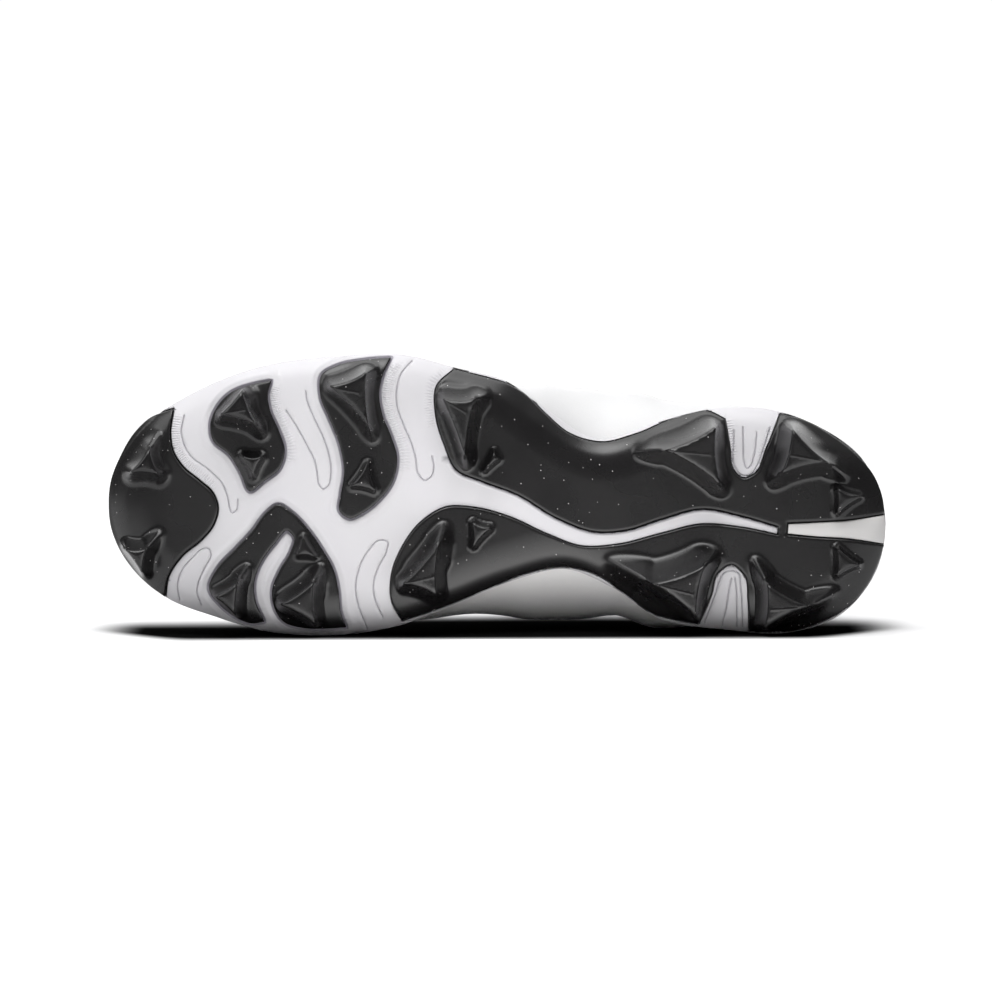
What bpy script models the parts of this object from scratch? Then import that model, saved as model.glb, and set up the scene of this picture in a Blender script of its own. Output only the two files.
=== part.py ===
"""Softball cleat for the left foot, lying on its inner side.

Every piece is worked out in the shoe's own frame, in millimetres: along runs from the toe tip to the
heel, across is plus on the inner side and minus on the outer side, and height is measured from the
plane that the stud tips stand on. A parent empty then lays the finished shoe on its inner side.
"""
import math
from typing import NamedTuple

import bmesh
import bpy
import numpy as np
from mathutils import Matrix, Vector
from mathutils.bvhtree import BVHTree
from mathutils.geometry import delaunay_2d_cdt

# Driving sizes of the shoe, in millimetres
LENGTH = 272.0
BALL_WIDTH = 97.0
INSTEP = 101.0
HEEL = 85.0
GAP = 0.3

# Upper
WALL = 2.0
WELT = 2.4
EYESTAY_RAISE = 0.9
EYESTAY_STARTS = 0.76
EYELET_PLACE = 0.88
EYELET_RADIUS = 2.2
EYELET_ROWS = 6
EYELETS_FROM = 0.375
EYELETS_TO = 0.537
OUTER_EYELETS = (4.2, 9.0)
INNER_EYELETS = (28.8, 23.5)
UPPER_ROWS = 64
SPREAD_ROWS = 2.6
UPPER_LEVELS = (0.0, 0.06, 0.16, 0.28, 0.41, 0.54, 0.66, 0.742, 0.762, 0.88, 1.0)

# Tongue, lace and insole
TONGUE_CLEAR = 0.7
TONGUE_THICK = 4.0
LACE_RADIUS = 1.3
LACE_CLEAR = 1.0
LACE_OVER = 0.5
LACE_PAST = 0.9
INSOLE_THICK = 4.0
INSOLE_EDGE = 2.0
INSOLE_CLEAR = 1.4
INSOLE_SEAT = 0.5
INSOLE_CUP = 7.0
INSTEP_END = 147.0
CREST_ROUND = 5.0

# Sole
EDGE_RISE = 3.2
EDGE_REACH = 15.0
PLATE_THICK = 1.9
PLATE_RIM = 1.6
RIM_DROP = 0.45
FLANK_POWER = 1.7
RIDGE_HALF = 4.0
TIP_HOLLOW = 0.2
FLANK_RINGS = (0.14, 0.34, 0.64)

# How the shoe lies: lean of the sole away from upright, and turn in the plane of the sole
LEAN_DEG = 2.71
TURN_DEG = 0.17

MM = 0.001
SHARP = True


class SoleStation(NamedTuple):
    """Heights of the white base at one place along the shoe."""

    along: float
    underside: float
    top: float


class Crest(NamedTuple):
    """A point on the top line of the instep."""

    along: float
    across: float
    height: float


class Section(NamedTuple):
    """One line of the upper from the sole's edge to the crest or the collar.

    at counts the rows of BASE_OUTLINE. lean is the outward lean at the sole and drop the slope at the
    upper end, in degrees; the pulls are the lengths that those directions hold. edge is the share of
    the line that the upper covers, and padding is what the collar adds to the wall.
    """

    at: float
    lean: float
    low_pull: float
    along: float
    across: float
    height: float
    drop: float
    high_pull: float
    edge: float
    eyestay: float
    padding: float


class Stud(NamedTuple):
    """A stud or nub: the corners of its flat tip, the tip's height, its flank's reach and its ridges."""

    corners: tuple
    tip: float
    reach: float
    ridges: tuple = ()


SOLE_STATIONS = (
    SoleStation(0.0, 24.0, 32.0),
    SoleStation(14.0, 19.0, 28.0),
    SoleStation(40.0, 14.6, 24.0),
    SoleStation(80.0, 12.5, 21.5),
    SoleStation(112.0, 13.0, 21.5),
    SoleStation(140.0, 15.4, 22.5),
    SoleStation(168.0, 17.2, 24.0),
    SoleStation(195.0, 16.0, 24.5),
    SoleStation(225.0, 14.6, 24.0),
    SoleStation(250.0, 14.6, 24.0),
    SoleStation(272.0, 16.4, 25.0),
)

# The white base from the toe tip, down the outer side to the heel and back along the inner side
BASE_OUTLINE = (
    (0.6, -2.0), (5.4, -19.4), (15.5, -31.6), (31.0, -41.3), (54.0, -50.0), (80.0, -53.4),
    (104.0, -53.9), (122.0, -49.4), (139.0, -45.0), (151.0, -36.6), (172.5, -24.6), (190.5, -30.2),
    (210.5, -35.2), (231.0, -35.0), (248.5, -28.8), (262.5, -18.6), (271.2, 2.0), (267.8, 21.5),
    (255.5, 36.4), (239.0, 42.4), (215.0, 41.6), (193.0, 38.0), (176.0, 27.0), (160.0, 20.6),
    (141.0, 24.7), (119.0, 33.6), (101.0, 40.4), (80.0, 43.4), (57.0, 42.4), (38.0, 37.2),
    (19.5, 29.8), (6.0, 16.2),
)

CREST_LINE = (
    Crest(96.0, -2.0, 0.69 * INSTEP),
    Crest(114.0, -1.5, 0.77 * INSTEP),
    Crest(133.0, -0.5, 0.88 * INSTEP),
    Crest(152.0, 0.5, 1.0 * INSTEP),
)


def crest(along):
    """Point of the instep's top line at a place along the shoe."""
    places = [row.along for row in CREST_LINE]
    across = curve_through(places, [row.across for row in CREST_LINE], along)
    height = curve_through(places, [row.height for row in CREST_LINE], along)
    return along, float(across), float(height)


def curve_through(places, values, at):
    """Smooth curve through the values given at rising places."""
    places = np.asarray(places, float)
    values = np.asarray(values, float)
    slopes = np.gradient(values, places)
    at = np.clip(np.asarray(at, float), places[0], places[-1])
    left = np.clip(np.searchsorted(places, at, side="right") - 1, 0, len(places) - 2)
    span = places[left + 1] - places[left]
    part = (at - places[left]) / span
    return hermite(values[left], values[left + 1], slopes[left] * span, slopes[left + 1] * span, part)


def hermite(start, end, leave, arrive, part):
    """Cubic between two values with the given end slopes."""
    square = part * part
    cube = square * part
    return ((2 * cube - 3 * square + 1) * start + (cube - 2 * square + part) * leave
            + (3 * square - 2 * cube) * end + (cube - square) * arrive)


class Loop:
    """Smooth closed curve through the rows of an outline; a row marked SHARP keeps its corner."""

    def __init__(self, rows):
        self.spots = np.array([row[:2] for row in rows], float)
        self.sharp = np.array([len(row) > 2 for row in rows])
        following = np.roll(self.spots, -1, axis=0)
        self.lengths = np.linalg.norm(following - self.spots, axis=1)
        ahead = (following - self.spots) / self.lengths[:, None]
        behind = np.roll(ahead, 1, axis=0)
        before = np.roll(self.lengths, 1)[:, None]
        after = self.lengths[:, None]
        self.ahead = ahead
        self.tangents = (behind * after + ahead * before) / (before + after)

    def at(self, places):
        """Points of the curve at places that count the rows."""
        places = np.asarray(places, float) % len(self.spots)
        left = places.astype(int)
        right = (left + 1) % len(self.spots)
        length = self.lengths[left][:, None]
        straight = self.ahead[left]
        leave = np.where(self.sharp[left][:, None], straight, self.tangents[left]) * length
        arrive = np.where(self.sharp[right][:, None], straight, self.tangents[right]) * length
        part = (places - left)[:, None]
        return hermite(self.spots[left], self.spots[right], leave, arrive, part)

    def sampled(self, spacing):
        """Points of the curve about the given spacing apart, with every row among them."""
        places = []
        for row, length in enumerate(self.lengths):
            pieces = max(1, round(length / spacing))
            places.extend(row + step / pieces for step in range(pieces))
        return self.at(places)


def inward_normals(outline):
    """Unit normals of a closed outline, pointing in."""
    run = np.roll(outline, -1, axis=0) - np.roll(outline, 1, axis=0)
    run /= np.linalg.norm(run, axis=1)[:, None]
    turned = np.stack([-run[:, 1], run[:, 0]], axis=1)
    following = np.roll(outline, -1, axis=0)
    area = np.sum(outline[:, 0] * following[:, 1] - following[:, 0] * outline[:, 1])
    return turned if area > 0 else -turned


def edge_distance(points, outline):
    """Distance of plan points from a closed outline."""
    start = outline
    run = np.roll(outline, -1, axis=0) - outline
    offset = points[:, None, :] - start[None, :, :]
    part = np.clip((offset * run).sum(-1) / (run * run).sum(-1), 0.0, 1.0)
    return np.linalg.norm(offset - part[..., None] * run, axis=-1).min(axis=1)


def is_inside(points, outline):
    """Whether plan points lie inside a closed outline."""
    start = outline
    end = np.roll(outline, -1, axis=0)
    across = points[:, 1][:, None]
    spans = (start[:, 1] > across) != (end[:, 1] > across)
    rise = np.where(start[:, 1] == end[:, 1], 1.0, end[:, 1] - start[:, 1])
    meets = start[:, 0] + (across - start[:, 1]) * (end[:, 0] - start[:, 0]) / rise
    return (spans & (points[:, 0][:, None] < meets)).sum(axis=1) % 2 == 1


def filling(outline, spacing, rings):
    """Plan points inside an outline: rings at given distances from the edge, then an even grid."""
    normals = inward_normals(outline)
    points = [np.empty((0, 2))]
    for inset in rings:
        ring = outline + normals * inset
        clear = is_inside(ring, outline) & (edge_distance(ring, outline) > 0.93 * inset)
        points.append(thinned(ring[clear], 0.6 * spacing))
    low = outline.min(axis=0)
    high = outline.max(axis=0)
    rows = np.arange(low[1], high[1], spacing * math.sqrt(0.75))
    grid = [(along + (number % 2) * spacing / 2, across)
            for number, across in enumerate(rows)
            for along in np.arange(low[0], high[0], spacing)]
    grid = np.array(grid)
    grid = grid[is_inside(grid, outline)]
    margin = max(rings, default=0.0) + 0.6 * spacing
    points.append(grid[edge_distance(grid, outline) > margin])
    return np.vstack(points)


def thinned(points, spacing):
    """Points in order, leaving out any that is closer than the spacing to the last one kept."""
    kept = []
    for point in points:
        if not kept or np.linalg.norm(point - kept[-1]) >= spacing:
            kept.append(point)
    return np.array(kept).reshape(-1, 2)


class Patch(NamedTuple):
    """A triangulated plan: its points, its triangles and the numbers of its rim points in order."""

    points: np.ndarray
    triangles: list
    rim: list


def plan_patch(outline, inner, loops=(), creases=()):
    """Triangles that fill an outline through inner points, keeping closed loops and open creases."""
    points = [Vector(point) for point in outline] + [Vector(point) for point in inner]
    count = len(outline)
    edges = [(number, (number + 1) % count) for number in range(count)]
    for line in (*loops, *creases):
        first = len(points)
        points.extend(Vector(point) for point in line)
        edges.extend((number, number + 1) for number in range(first, len(points) - 1))
    start = count + len(inner)
    for loop in loops:
        edges.append((start + len(loop) - 1, start))
        start += len(loop)
    found = delaunay_2d_cdt(points, edges, [], 1, 1e-5)
    spots, _, triangles, sources = found[:4]
    place = {source: number for number, group in enumerate(sources) for source in group}
    rim = [place[number] for number in range(count)]
    return Patch(np.array([tuple(spot) for spot in spots]), triangles, rim)


def sole_height(column, along):
    """Height of one column of the sole's stations along the shoe."""
    places = [row.along for row in SOLE_STATIONS]
    return curve_through(places, [getattr(row, column) for row in SOLE_STATIONS], along)


BASE = Loop(BASE_OUTLINE)
BASE_EDGE = BASE.sampled(7.0)


def underside(points):
    """Height of the white base's lower face, which rolls up towards its edge."""
    depth = np.where(is_inside(points, BASE_EDGE), edge_distance(points, BASE_EDGE), 0.0)
    roll = np.clip(1.0 - depth / EDGE_REACH, 0.0, 1.0) ** 2
    return sole_height("underside", points[:, 0]) + EDGE_RISE * roll


def raised(points, heights):
    """Plan points with their heights."""
    return np.column_stack([points, heights])


def link_mesh(name, vertices, faces, material):
    """Mesh object of shoe-frame points in millimetres, with its faces turned outwards."""
    shaped = bmesh.new()
    spots = [shaped.verts.new(Vector(vertex) * MM) for vertex in vertices]
    for face in faces:
        shaped.faces.new([spots[number] for number in face])
    bmesh.ops.recalc_face_normals(shaped, faces=shaped.faces)
    mesh = bpy.data.meshes.new(name)
    shaped.to_mesh(mesh)
    shaped.free()
    mesh.shade_smooth()
    mesh.set_sharp_from_angle(angle=math.radians(35.0))
    thing = bpy.data.objects.new(name, mesh)
    if material:
        mesh.materials.append(material)
    return thing


def closed_solid(name, lower, lower_heights, upper, upper_heights, material, side_rings=()):
    """Solid between a lower and an upper patch with like rims, with rings of points up its side."""
    vertices = [*raised(lower.points, lower_heights), *raised(upper.points, upper_heights)]
    start = len(lower.points)
    faces = [tuple(face) for face in lower.triangles]
    faces += [tuple(start + number for number in face) for face in upper.triangles]
    levels = [lower.rim]
    for ring in side_rings:
        levels.append(list(range(len(vertices), len(vertices) + len(ring))))
        vertices.extend(ring)
    levels.append([start + number for number in upper.rim])
    for below, above in zip(levels, levels[1:]):
        count = len(below)
        for number in range(count):
            following = (number + 1) % count
            faces.append((below[number], below[following], above[following], above[number]))
    return link_mesh(name, vertices, faces, material)


class SideStep(NamedTuple):
    """A level of the base's side wall: its inset from the outline and its share of the wall's height."""

    inset: float
    share: float


SIDE_STEPS = (SideStep(0.0, 0.16), SideStep(0.0, 0.52), SideStep(1.2, 0.60), SideStep(1.2, 1.0))


def make_base(material):
    """White base: rolled underside, stepped side wall and a top that the upper and insole sit on."""
    normals = inward_normals(BASE_EDGE)
    lower = plan_patch(BASE_EDGE, filling(BASE_EDGE, 9.0, (4.5, 9.5, 15.0)))
    lower_heights = underside(lower.points)
    bottom = lower_heights[lower.rim]
    wall = sole_height("top", BASE_EDGE[:, 0]) - bottom
    rings = []
    for step in SIDE_STEPS[:-1]:
        rings.append(raised(BASE_EDGE + normals * step.inset, bottom + wall * step.share))
    top_edge = BASE_EDGE + normals * SIDE_STEPS[-1].inset
    upper = plan_patch(top_edge, filling(top_edge, 14.0, ()))
    upper_heights = sole_height("top", upper.points[:, 0])
    return closed_solid("outsole_base", lower, lower_heights, upper, upper_heights, material, rings)


def tip_outline(stud):
    """Edge of a stud's flat tip: its three corners, with the sides between them drawn in."""
    corners = np.array(stud.corners, float)
    middle = corners.mean(axis=0)
    sides = (corners + np.roll(corners, -1, axis=0)) / 2
    sides += (middle - sides) * TIP_HOLLOW
    return np.stack([corners, sides], axis=1).reshape(-1, 2)


def tip_distance(points, stud):
    """Distance of plan points from a stud's tip, nought inside it."""
    tip = tip_outline(stud)
    return np.where(is_inside(points, tip), 0.0, edge_distance(points, tip))


def stud_share(points, stud, edge):
    """Share of a stud's full height at plan points: a hollow flank that ends at the plate's edge."""
    away = tip_distance(points, stud)
    run_out = np.maximum(away / stud.reach, away / (away + edge + 1e-6))
    share = np.clip(1.0 - run_out, 0.0, 1.0) ** FLANK_POWER
    for ridge in stud.ridges:
        start, *_, end = ridge_line(stud, ridge)
        run = end - start
        part = np.clip((points - start) @ run / (run @ run), 0.0, 1.0)
        beside = np.linalg.norm(points - start - part[:, None] * run, axis=1)
        crown = (1.0 - part) * np.clip(1.0 - beside / RIDGE_HALF, 0.0, 1.0)
        share = np.maximum(share, crown * np.clip(edge / PLATE_RIM, 0.0, 1.0))
    return share


def plate_face(points, outline, studs):
    """Height of a tread plate's ground face: its skin, rounded rim, studs and nubs."""
    edge = edge_distance(points, outline)
    rounding = (1.0 - np.clip(edge / PLATE_RIM, 0.0, 1.0)) ** 2
    skin = underside(points) - GAP - PLATE_THICK * (1.0 - RIM_DROP * rounding)
    face = skin
    for stud in studs:
        face = np.minimum(face, skin - (skin - stud.tip) * stud_share(points, stud, edge))
    return face


def ridge_line(stud, ridge):
    """Plan points down one ridge of a stud, from the nearest corner of its tip."""
    corners = np.array(stud.corners, float)
    end = np.array(ridge, float)
    start = corners[np.argmin(np.linalg.norm(corners - end, axis=1))]
    return np.array([start + (end - start) * part for part in (0.0, 0.33, 0.67, 1.0)])


def stud_points(stud, outline):
    """Plan points on rings around a stud's tip, clear of its ridges and of the plate's rim."""
    tip = tip_outline(stud)
    sides = -inward_normals(tip)
    before = np.roll(tip, 1, axis=0)
    after = np.roll(tip, -1, axis=0)
    fans = [sides]
    for run in (tip - before, after - tip):
        square = np.column_stack([run[:, 1], -run[:, 0]])
        square *= np.sign((square * sides).sum(axis=1))[:, None]
        fans.append((square / np.linalg.norm(square, axis=1)[:, None])[::2])
    points = []
    for share in FLANK_RINGS:
        points.extend(tip + fans[0] * share * stud.reach)
        for fan in fans[1:]:
            points.extend(tip[::2] + fan * share * stud.reach)
    points = np.array(points)
    points = points[is_inside(points, outline)]
    points = points[edge_distance(points, outline) > 1.5 * PLATE_RIM]
    points = points[tip_distance(points, stud) > 0.08 * stud.reach]
    for ridge in stud.ridges:
        line = ridge_line(stud, ridge)
        points = points[np.linalg.norm(points[:, None] - line[None], axis=-1).min(axis=1) > 0.9]
    return points


def make_plate(name, rows, studs, material, spacing=5.0):
    """Black tread plate with its studs, seated under the white base."""
    outline = Loop(rows).sampled(4.0)
    inner = filling(outline, spacing, (PLATE_RIM,))
    tips = [tip_outline(stud) for stud in studs]
    ridges = [ridge_line(stud, ridge) for stud in studs for ridge in stud.ridges]
    extra = np.vstack([np.empty((0, 2))] + [stud_points(stud, outline) for stud in studs])
    for stud in studs:
        inner = inner[tip_distance(inner, stud) > 0.3 * spacing]
    for fixed in (extra, *ridges):
        if len(fixed):
            apart = np.linalg.norm(inner[:, None] - fixed[None], axis=-1).min(axis=1)
            inner = inner[apart > 0.4 * spacing]
    lower = plan_patch(outline, np.vstack([inner, extra]), tips, ridges)
    upper = plan_patch(outline, filling(outline, spacing, ()))
    seat = underside(upper.points) - GAP
    return closed_solid(name, lower, plate_face(lower.points, outline, studs), upper, seat, material)


PLATE_TOE = (
    (23.0, -35.2, SHARP), (14.8, -32.2), (9.2, -27.0), (4.2, -18.8), (0.7, -9.8), (0.0, -1.5),
    (0.7, 5.5), (3.4, 12.8), (8.5, 20.4), (14.5, 26.3), (20.0, 30.2, SHARP), (21.2, 23.5),
    (26.5, 15.5), (33.0, 10.2), (37.3, 4.8), (38.7, -1.0), (36.9, -6.0), (32.5, -10.0),
    (26.5, -15.0), (23.0, -20.5), (22.0, -26.5),
)
STUDS_TOE = (
    Stud(((15.0, -21.0), (8.5, -13.0), (18.5, -12.5)), 8.0, 9.0, ((19.0, -28.5), (22.0, -12.0))),
    Stud(((7.0, 13.0), (14.0, 13.0), (12.5, 22.0)), 8.0, 9.0, ((20.5, 6.0),)),
)

PLATE_OUTER_FRONT = (
    (57.5, -45.0, SHARP), (50.5, -43.6), (43.0, -40.6), (39.0, -36.5), (36.3, -30.0), (37.0, -24.5),
    (43.0, -19.0), (47.0, -12.5), (50.0, -6.5), (55.0, -10.0), (60.5, -14.5), (62.2, -20.5),
    (60.0, -28.0), (57.0, -35.0), (56.3, -40.0),
)
STUDS_OUTER_FRONT = (
    Stud(((39.6, -33.4), (46.5, -41.4), (49.5, -34.5)), 0.0, 9.5, ((56.0, -27.5),)),
    Stud(((48.5, -18.5), (54.5, -18.5), (51.0, -12.5)), 7.4, 4.5),
)

PLATE_OUTER_REAR = (
    (75.0, -47.0), (80.5, -50.3), (89.5, -52.2), (99.0, -53.0, SHARP), (96.3, -47.0), (95.0, -41.0),
    (96.0, -33.5), (99.0, -26.0), (101.2, -18.5), (99.5, -9.5), (95.0, -3.5), (89.0, 1.2),
    (84.5, 2.9), (81.3, 0.5), (81.6, -5.0), (82.8, -13.0), (81.3, -22.5), (77.8, -31.5),
    (74.6, -39.5),
)
STUDS_OUTER_REAR = (
    Stud(((78.0, -42.8), (91.0, -48.0), (87.5, -40.0)), 0.0, 10.0, ((93.5, -25.0),)),
    Stud(((91.0, -16.0), (85.2, -7.5), (94.0, -5.8)), 7.2, 5.0),
)

PLATE_INNER = (
    (59.8, -2.0), (64.5, 0.6), (70.0, 6.2), (75.5, 14.0), (79.2, 20.7), (80.9, 28.0), (81.6, 35.5),
    (83.5, 40.7, SHARP), (74.5, 41.2), (67.5, 40.8), (61.8, 38.8), (58.6, 34.0), (57.8, 28.0),
    (60.8, 20.2), (64.3, 14.2), (65.4, 9.5), (63.2, 7.2), (58.8, 11.6), (54.2, 17.8), (51.7, 24.5),
    (51.8, 30.5), (55.0, 38.8, SHARP), (50.5, 39.4), (44.5, 37.0), (39.5, 32.9), (35.8, 27.5),
    (38.6, 20.4), (45.0, 13.5), (50.8, 7.3), (56.0, 0.6),
)
STUDS_INNER = (
    Stud(((46.0, 24.5), (38.3, 29.6), (45.0, 35.4)), 0.0, 8.5, ((50.6, 16.5),)),
    Stud(((72.5, 25.0), (60.5, 32.5), (72.5, 39.2)), 0.0, 10.0, ((76.0, 17.5),)),
    Stud(((68.8, 7.5), (70.8, 12.0), (67.8, 13.5)), 7.6, 4.5),
)

# The outer arm, the outer notch of the heel, the heel with the slot of its insert, the inner notch and
# the inner arm
PLATE_REAR = (
    (121.0, -49.0, SHARP), (127.0, -47.4), (134.0, -45.6), (140.0, -43.7), (145.5, -40.4),
    (152.5, -33.6), (161.0, -26.6), (172.5, -23.6), (184.0, -26.3), (198.5, -32.2), (209.0, -34.4),
    (215.0, -31.6, SHARP), (216.6, -22.0), (218.2, -13.5), (221.5, -11.0), (225.4, -12.6),
    (229.6, -21.5), (234.4, -33.4, SHARP), (243.0, -31.2), (252.0, -26.2), (260.8, -19.4),
    (266.8, -12.6), (270.0, -5.0), (271.0, 1.2, SHARP), (258.0, 3.2), (245.0, 4.0),
    (236.6, 4.3, SHARP), (236.2, 8.6, SHARP), (246.0, 9.5), (258.0, 10.3), (270.7, 12.2, SHARP),
    (268.6, 18.6), (264.6, 26.6), (258.5, 33.0), (250.0, 38.2), (241.0, 41.4), (230.0, 42.2),
    (223.7, 42.2, SHARP), (223.2, 31.0), (222.2, 23.0), (217.3, 18.8), (212.4, 22.0), (210.2, 29.5),
    (206.0, 39.6, SHARP), (197.0, 37.9), (189.5, 35.8), (180.5, 29.2), (170.5, 22.4), (160.0, 19.8),
    (147.0, 21.7), (131.0, 28.0), (115.0, 34.4), (103.0, 38.4, SHARP), (99.6, 32.0), (99.4, 22.5),
    (103.2, 12.6), (110.0, 3.8), (118.0, -0.9), (128.0, -0.8), (140.0, 2.4), (153.0, 8.3),
    (165.0, 12.6), (178.0, 12.0), (193.0, 8.2), (207.0, 5.0), (220.0, 6.0), (233.6, 8.7, SHARP),
    (233.6, 5.7, SHARP), (221.0, 2.0), (207.0, -0.5), (193.0, 3.0), (181.0, 6.8), (170.0, 7.4),
    (157.0, 2.8), (143.0, -5.5), (130.0, -10.4), (122.0, -14.0), (117.6, -23.0), (114.6, -34.0),
    (115.0, -43.0),
)
STUDS_REAR = (
    Stud(((116.9, -38.8), (128.0, -38.4), (124.0, -23.5)), 0.0, 10.5, ((124.5, -14.5),)),
    Stud(((131.5, -13.0), (136.0, -20.5), (137.0, -14.0)), 8.2, 4.0),
    Stud(((115.5, 12.0), (103.4, 25.5), (114.8, 29.0)), 0.0, 10.5, ((118.5, 2.5),)),
    Stud(((126.0, 3.0), (133.5, 6.5), (127.5, 12.5)), 8.0, 4.5),
    Stud(((193.5, -20.6), (210.4, -28.6), (210.8, -9.0)), 0.0, 12.0, ((212.5, -2.0), (179.0, -20.0))),
    Stud(((238.4, -27.8), (250.0, -16.5), (236.8, -19.0)), 0.0, 11.5, ((259.0, -9.5),)),
    Stud(((188.8, 25.8), (206.6, 19.6), (204.6, 36.8)), 0.0, 12.0, ((173.0, 16.2),)),
    Stud(((229.2, 25.5), (243.2, 33.0), (228.2, 40.4)), 0.0, 11.5, ((225.0, 14.0),)),
    Stud(((253.6, -7.0), (262.0, -5.2), (253.6, 0.4)), 8.2, 5.0),
    Stud(((253.6, 13.4), (261.5, 19.0), (253.6, 22.6)), 8.2, 5.0),
)

HEEL_INSERT = (
    (237.1, 4.9, SHARP), (245.0, 4.5), (258.0, 3.7), (270.8, 1.8, SHARP), (271.2, 6.5),
    (270.6, 11.6, SHARP), (258.0, 9.8), (246.0, 9.0), (236.8, 8.1, SHARP),
)


PLATES = (
    ("plate_toe", PLATE_TOE, STUDS_TOE),
    ("plate_fore_outer_front", PLATE_OUTER_FRONT, STUDS_OUTER_FRONT),
    ("plate_fore_outer_rear", PLATE_OUTER_REAR, STUDS_OUTER_REAR),
    ("plate_fore_inner", PLATE_INNER, STUDS_INNER),
    ("plate_rear", PLATE_REAR, STUDS_REAR),
)


def throat(at, lean, low_pull, along, drop, high_pull, edge):
    """Section that runs up to the crest of the instep and is cut short at the throat."""
    return Section(at, lean, low_pull, *crest(along), drop, high_pull, edge, 1.0, 0.0)


def collar(at, lean, low_pull, along, across, height, drop, high_pull, padding):
    """Section that runs up to the padded collar."""
    return Section(at, lean, low_pull, along, across, height, drop, high_pull, 1.0, 0.0, padding)


# Sections of the upper from the toe tip, down the outer side to the heel and back along the inner side
SECTIONS = (
    throat(0.0, 8, 22, 0.355 * LENGTH, 14, 48, 0.92),
    throat(2.0, 12, 20, 0.355 * LENGTH, 14, 42, 0.91),
    throat(4.0, 16, 17, 0.365 * LENGTH, 13, 27, 0.85),
    throat(6.0, 14, 21, 0.420 * LENGTH, 12, 25, 0.79),
    throat(8.0, 18, 26, 0.490 * LENGTH, 14, 25, 0.77),
    throat(9.0, 47, 38, 0.540 * LENGTH, 17, 28, 0.79),
    collar(10.2, 61, 49, 0.612 * LENGTH, -0.205 * BALL_WIDTH, 1.085 * HEEL, 54, 27, 1.5),
    collar(11.4, 42, 28, 0.700 * LENGTH, -0.285 * BALL_WIDTH, 0.95 * HEEL, 70, 20, 2.2),
    collar(12.6, 25, 19, 0.790 * LENGTH, -0.31 * BALL_WIDTH, 0.86 * HEEL, 80, 16, 2.5),
    collar(14.0, 22, 19, 0.880 * LENGTH, -0.23 * BALL_WIDTH, 0.94 * HEEL, 82, 20, 2.5),
    collar(16.0, 8, 22, 0.952 * LENGTH, 0.035 * BALL_WIDTH, 1.02 * HEEL, 84, 24, 2.0),
    collar(18.0, 8, 18, 0.893 * LENGTH, 0.27 * BALL_WIDTH, 0.94 * HEEL, 82, 20, 2.5),
    collar(20.0, 14, 20, 0.765 * LENGTH, 0.345 * BALL_WIDTH, 0.87 * HEEL, 80, 17, 2.5),
    collar(21.1, 26, 31, 0.698 * LENGTH, 0.31 * BALL_WIDTH, 0.96 * HEEL, 66, 25, 2.2),
    collar(22.3, 50, 35, 0.622 * LENGTH, 0.215 * BALL_WIDTH, 1.085 * HEEL, 55, 26, 1.5),
    throat(23.5, 52, 40, 0.540 * LENGTH, 17, 28, 0.79),
    throat(25.0, 22, 25, 0.475 * LENGTH, 14, 25, 0.77),
    throat(27.0, 12, 20, 0.395 * LENGTH, 12, 25, 0.79),
    throat(29.0, 14, 17, 0.360 * LENGTH, 15, 29, 0.87),
    throat(30.5, 12, 20, 0.355 * LENGTH, 14, 42, 0.91),
)


def section_column(name, at):
    """Value of one column of the sections at places around the shoe."""
    period = len(BASE_OUTLINE)
    places = [row.at + turn * period for turn in (-1, 0, 1) for row in SECTIONS]
    values = [getattr(row, name) for _ in range(3) for row in SECTIONS]
    return curve_through(places, values, np.asarray(at, float) % period)


def feather(at):
    """Lower end of the upper's outer face, inside the base's edge, with the outward direction there."""
    spots = BASE.at(at) - outward_at(at, 0.02) * WELT
    return raised(spots, sole_height("top", spots[:, 0]) + GAP), outward_at(at, SPREAD_ROWS)


def outward_at(at, reach):
    """Outward direction across the base's edge, taken over a reach of rows to either side."""
    at = np.asarray(at, float)
    run = BASE.at(at + reach) - BASE.at(at - reach)
    run /= np.linalg.norm(run, axis=1)[:, None]
    return np.stack([run[:, 1], -run[:, 0]], axis=1)


def last_surface(at, levels, covered=True):
    """Grid of points of the outer face; levels run from the sole to the upper's edge, or to the crest."""
    at = np.asarray(at, float)
    start, outward = feather(at)
    lean = np.radians(section_column("lean", at))
    low = section_column("low_pull", at)
    first = start + np.column_stack([outward * (low * np.sin(lean))[:, None], low * np.cos(lean)])
    end = np.column_stack([section_column(name, at) for name in ("along", "across", "height")])
    toward = start[:, :2] - end[:, :2]
    toward /= np.linalg.norm(toward, axis=1)[:, None]
    drop = np.radians(section_column("drop", at))
    high = section_column("high_pull", at)
    second = end + np.column_stack([toward * (high * np.cos(drop))[:, None], -high * np.sin(drop)])
    reach = np.clip(section_column("edge", at), 0.0, 1.0) if covered else np.ones(len(at))
    part = (reach[:, None] * np.asarray(levels, float)[None, :])[..., None]
    rest = 1.0 - part
    return (rest ** 3 * start[:, None] + 3 * rest ** 2 * part * first[:, None]
            + 3 * rest * part ** 2 * second[:, None] + part ** 3 * end[:, None])


def surface_normals(at, levels):
    """Outward unit normals of the outer face on the grid of places and levels."""
    step = 0.02
    at = np.asarray(at, float)
    around = last_surface(at + step, levels) - last_surface(at - step, levels)
    levels = np.asarray(levels, float)
    upward = last_surface(at, levels + step) - last_surface(at, levels - step)
    normals = np.cross(around, upward)
    normals /= np.linalg.norm(normals, axis=-1)[..., None]
    middle = np.array([0.5 * LENGTH, 0.0, 0.45 * INSTEP])
    sample = last_surface(at, levels)
    if np.sum((sample - middle) * normals) < 0.0:
        normals = -normals
    return normals


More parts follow.
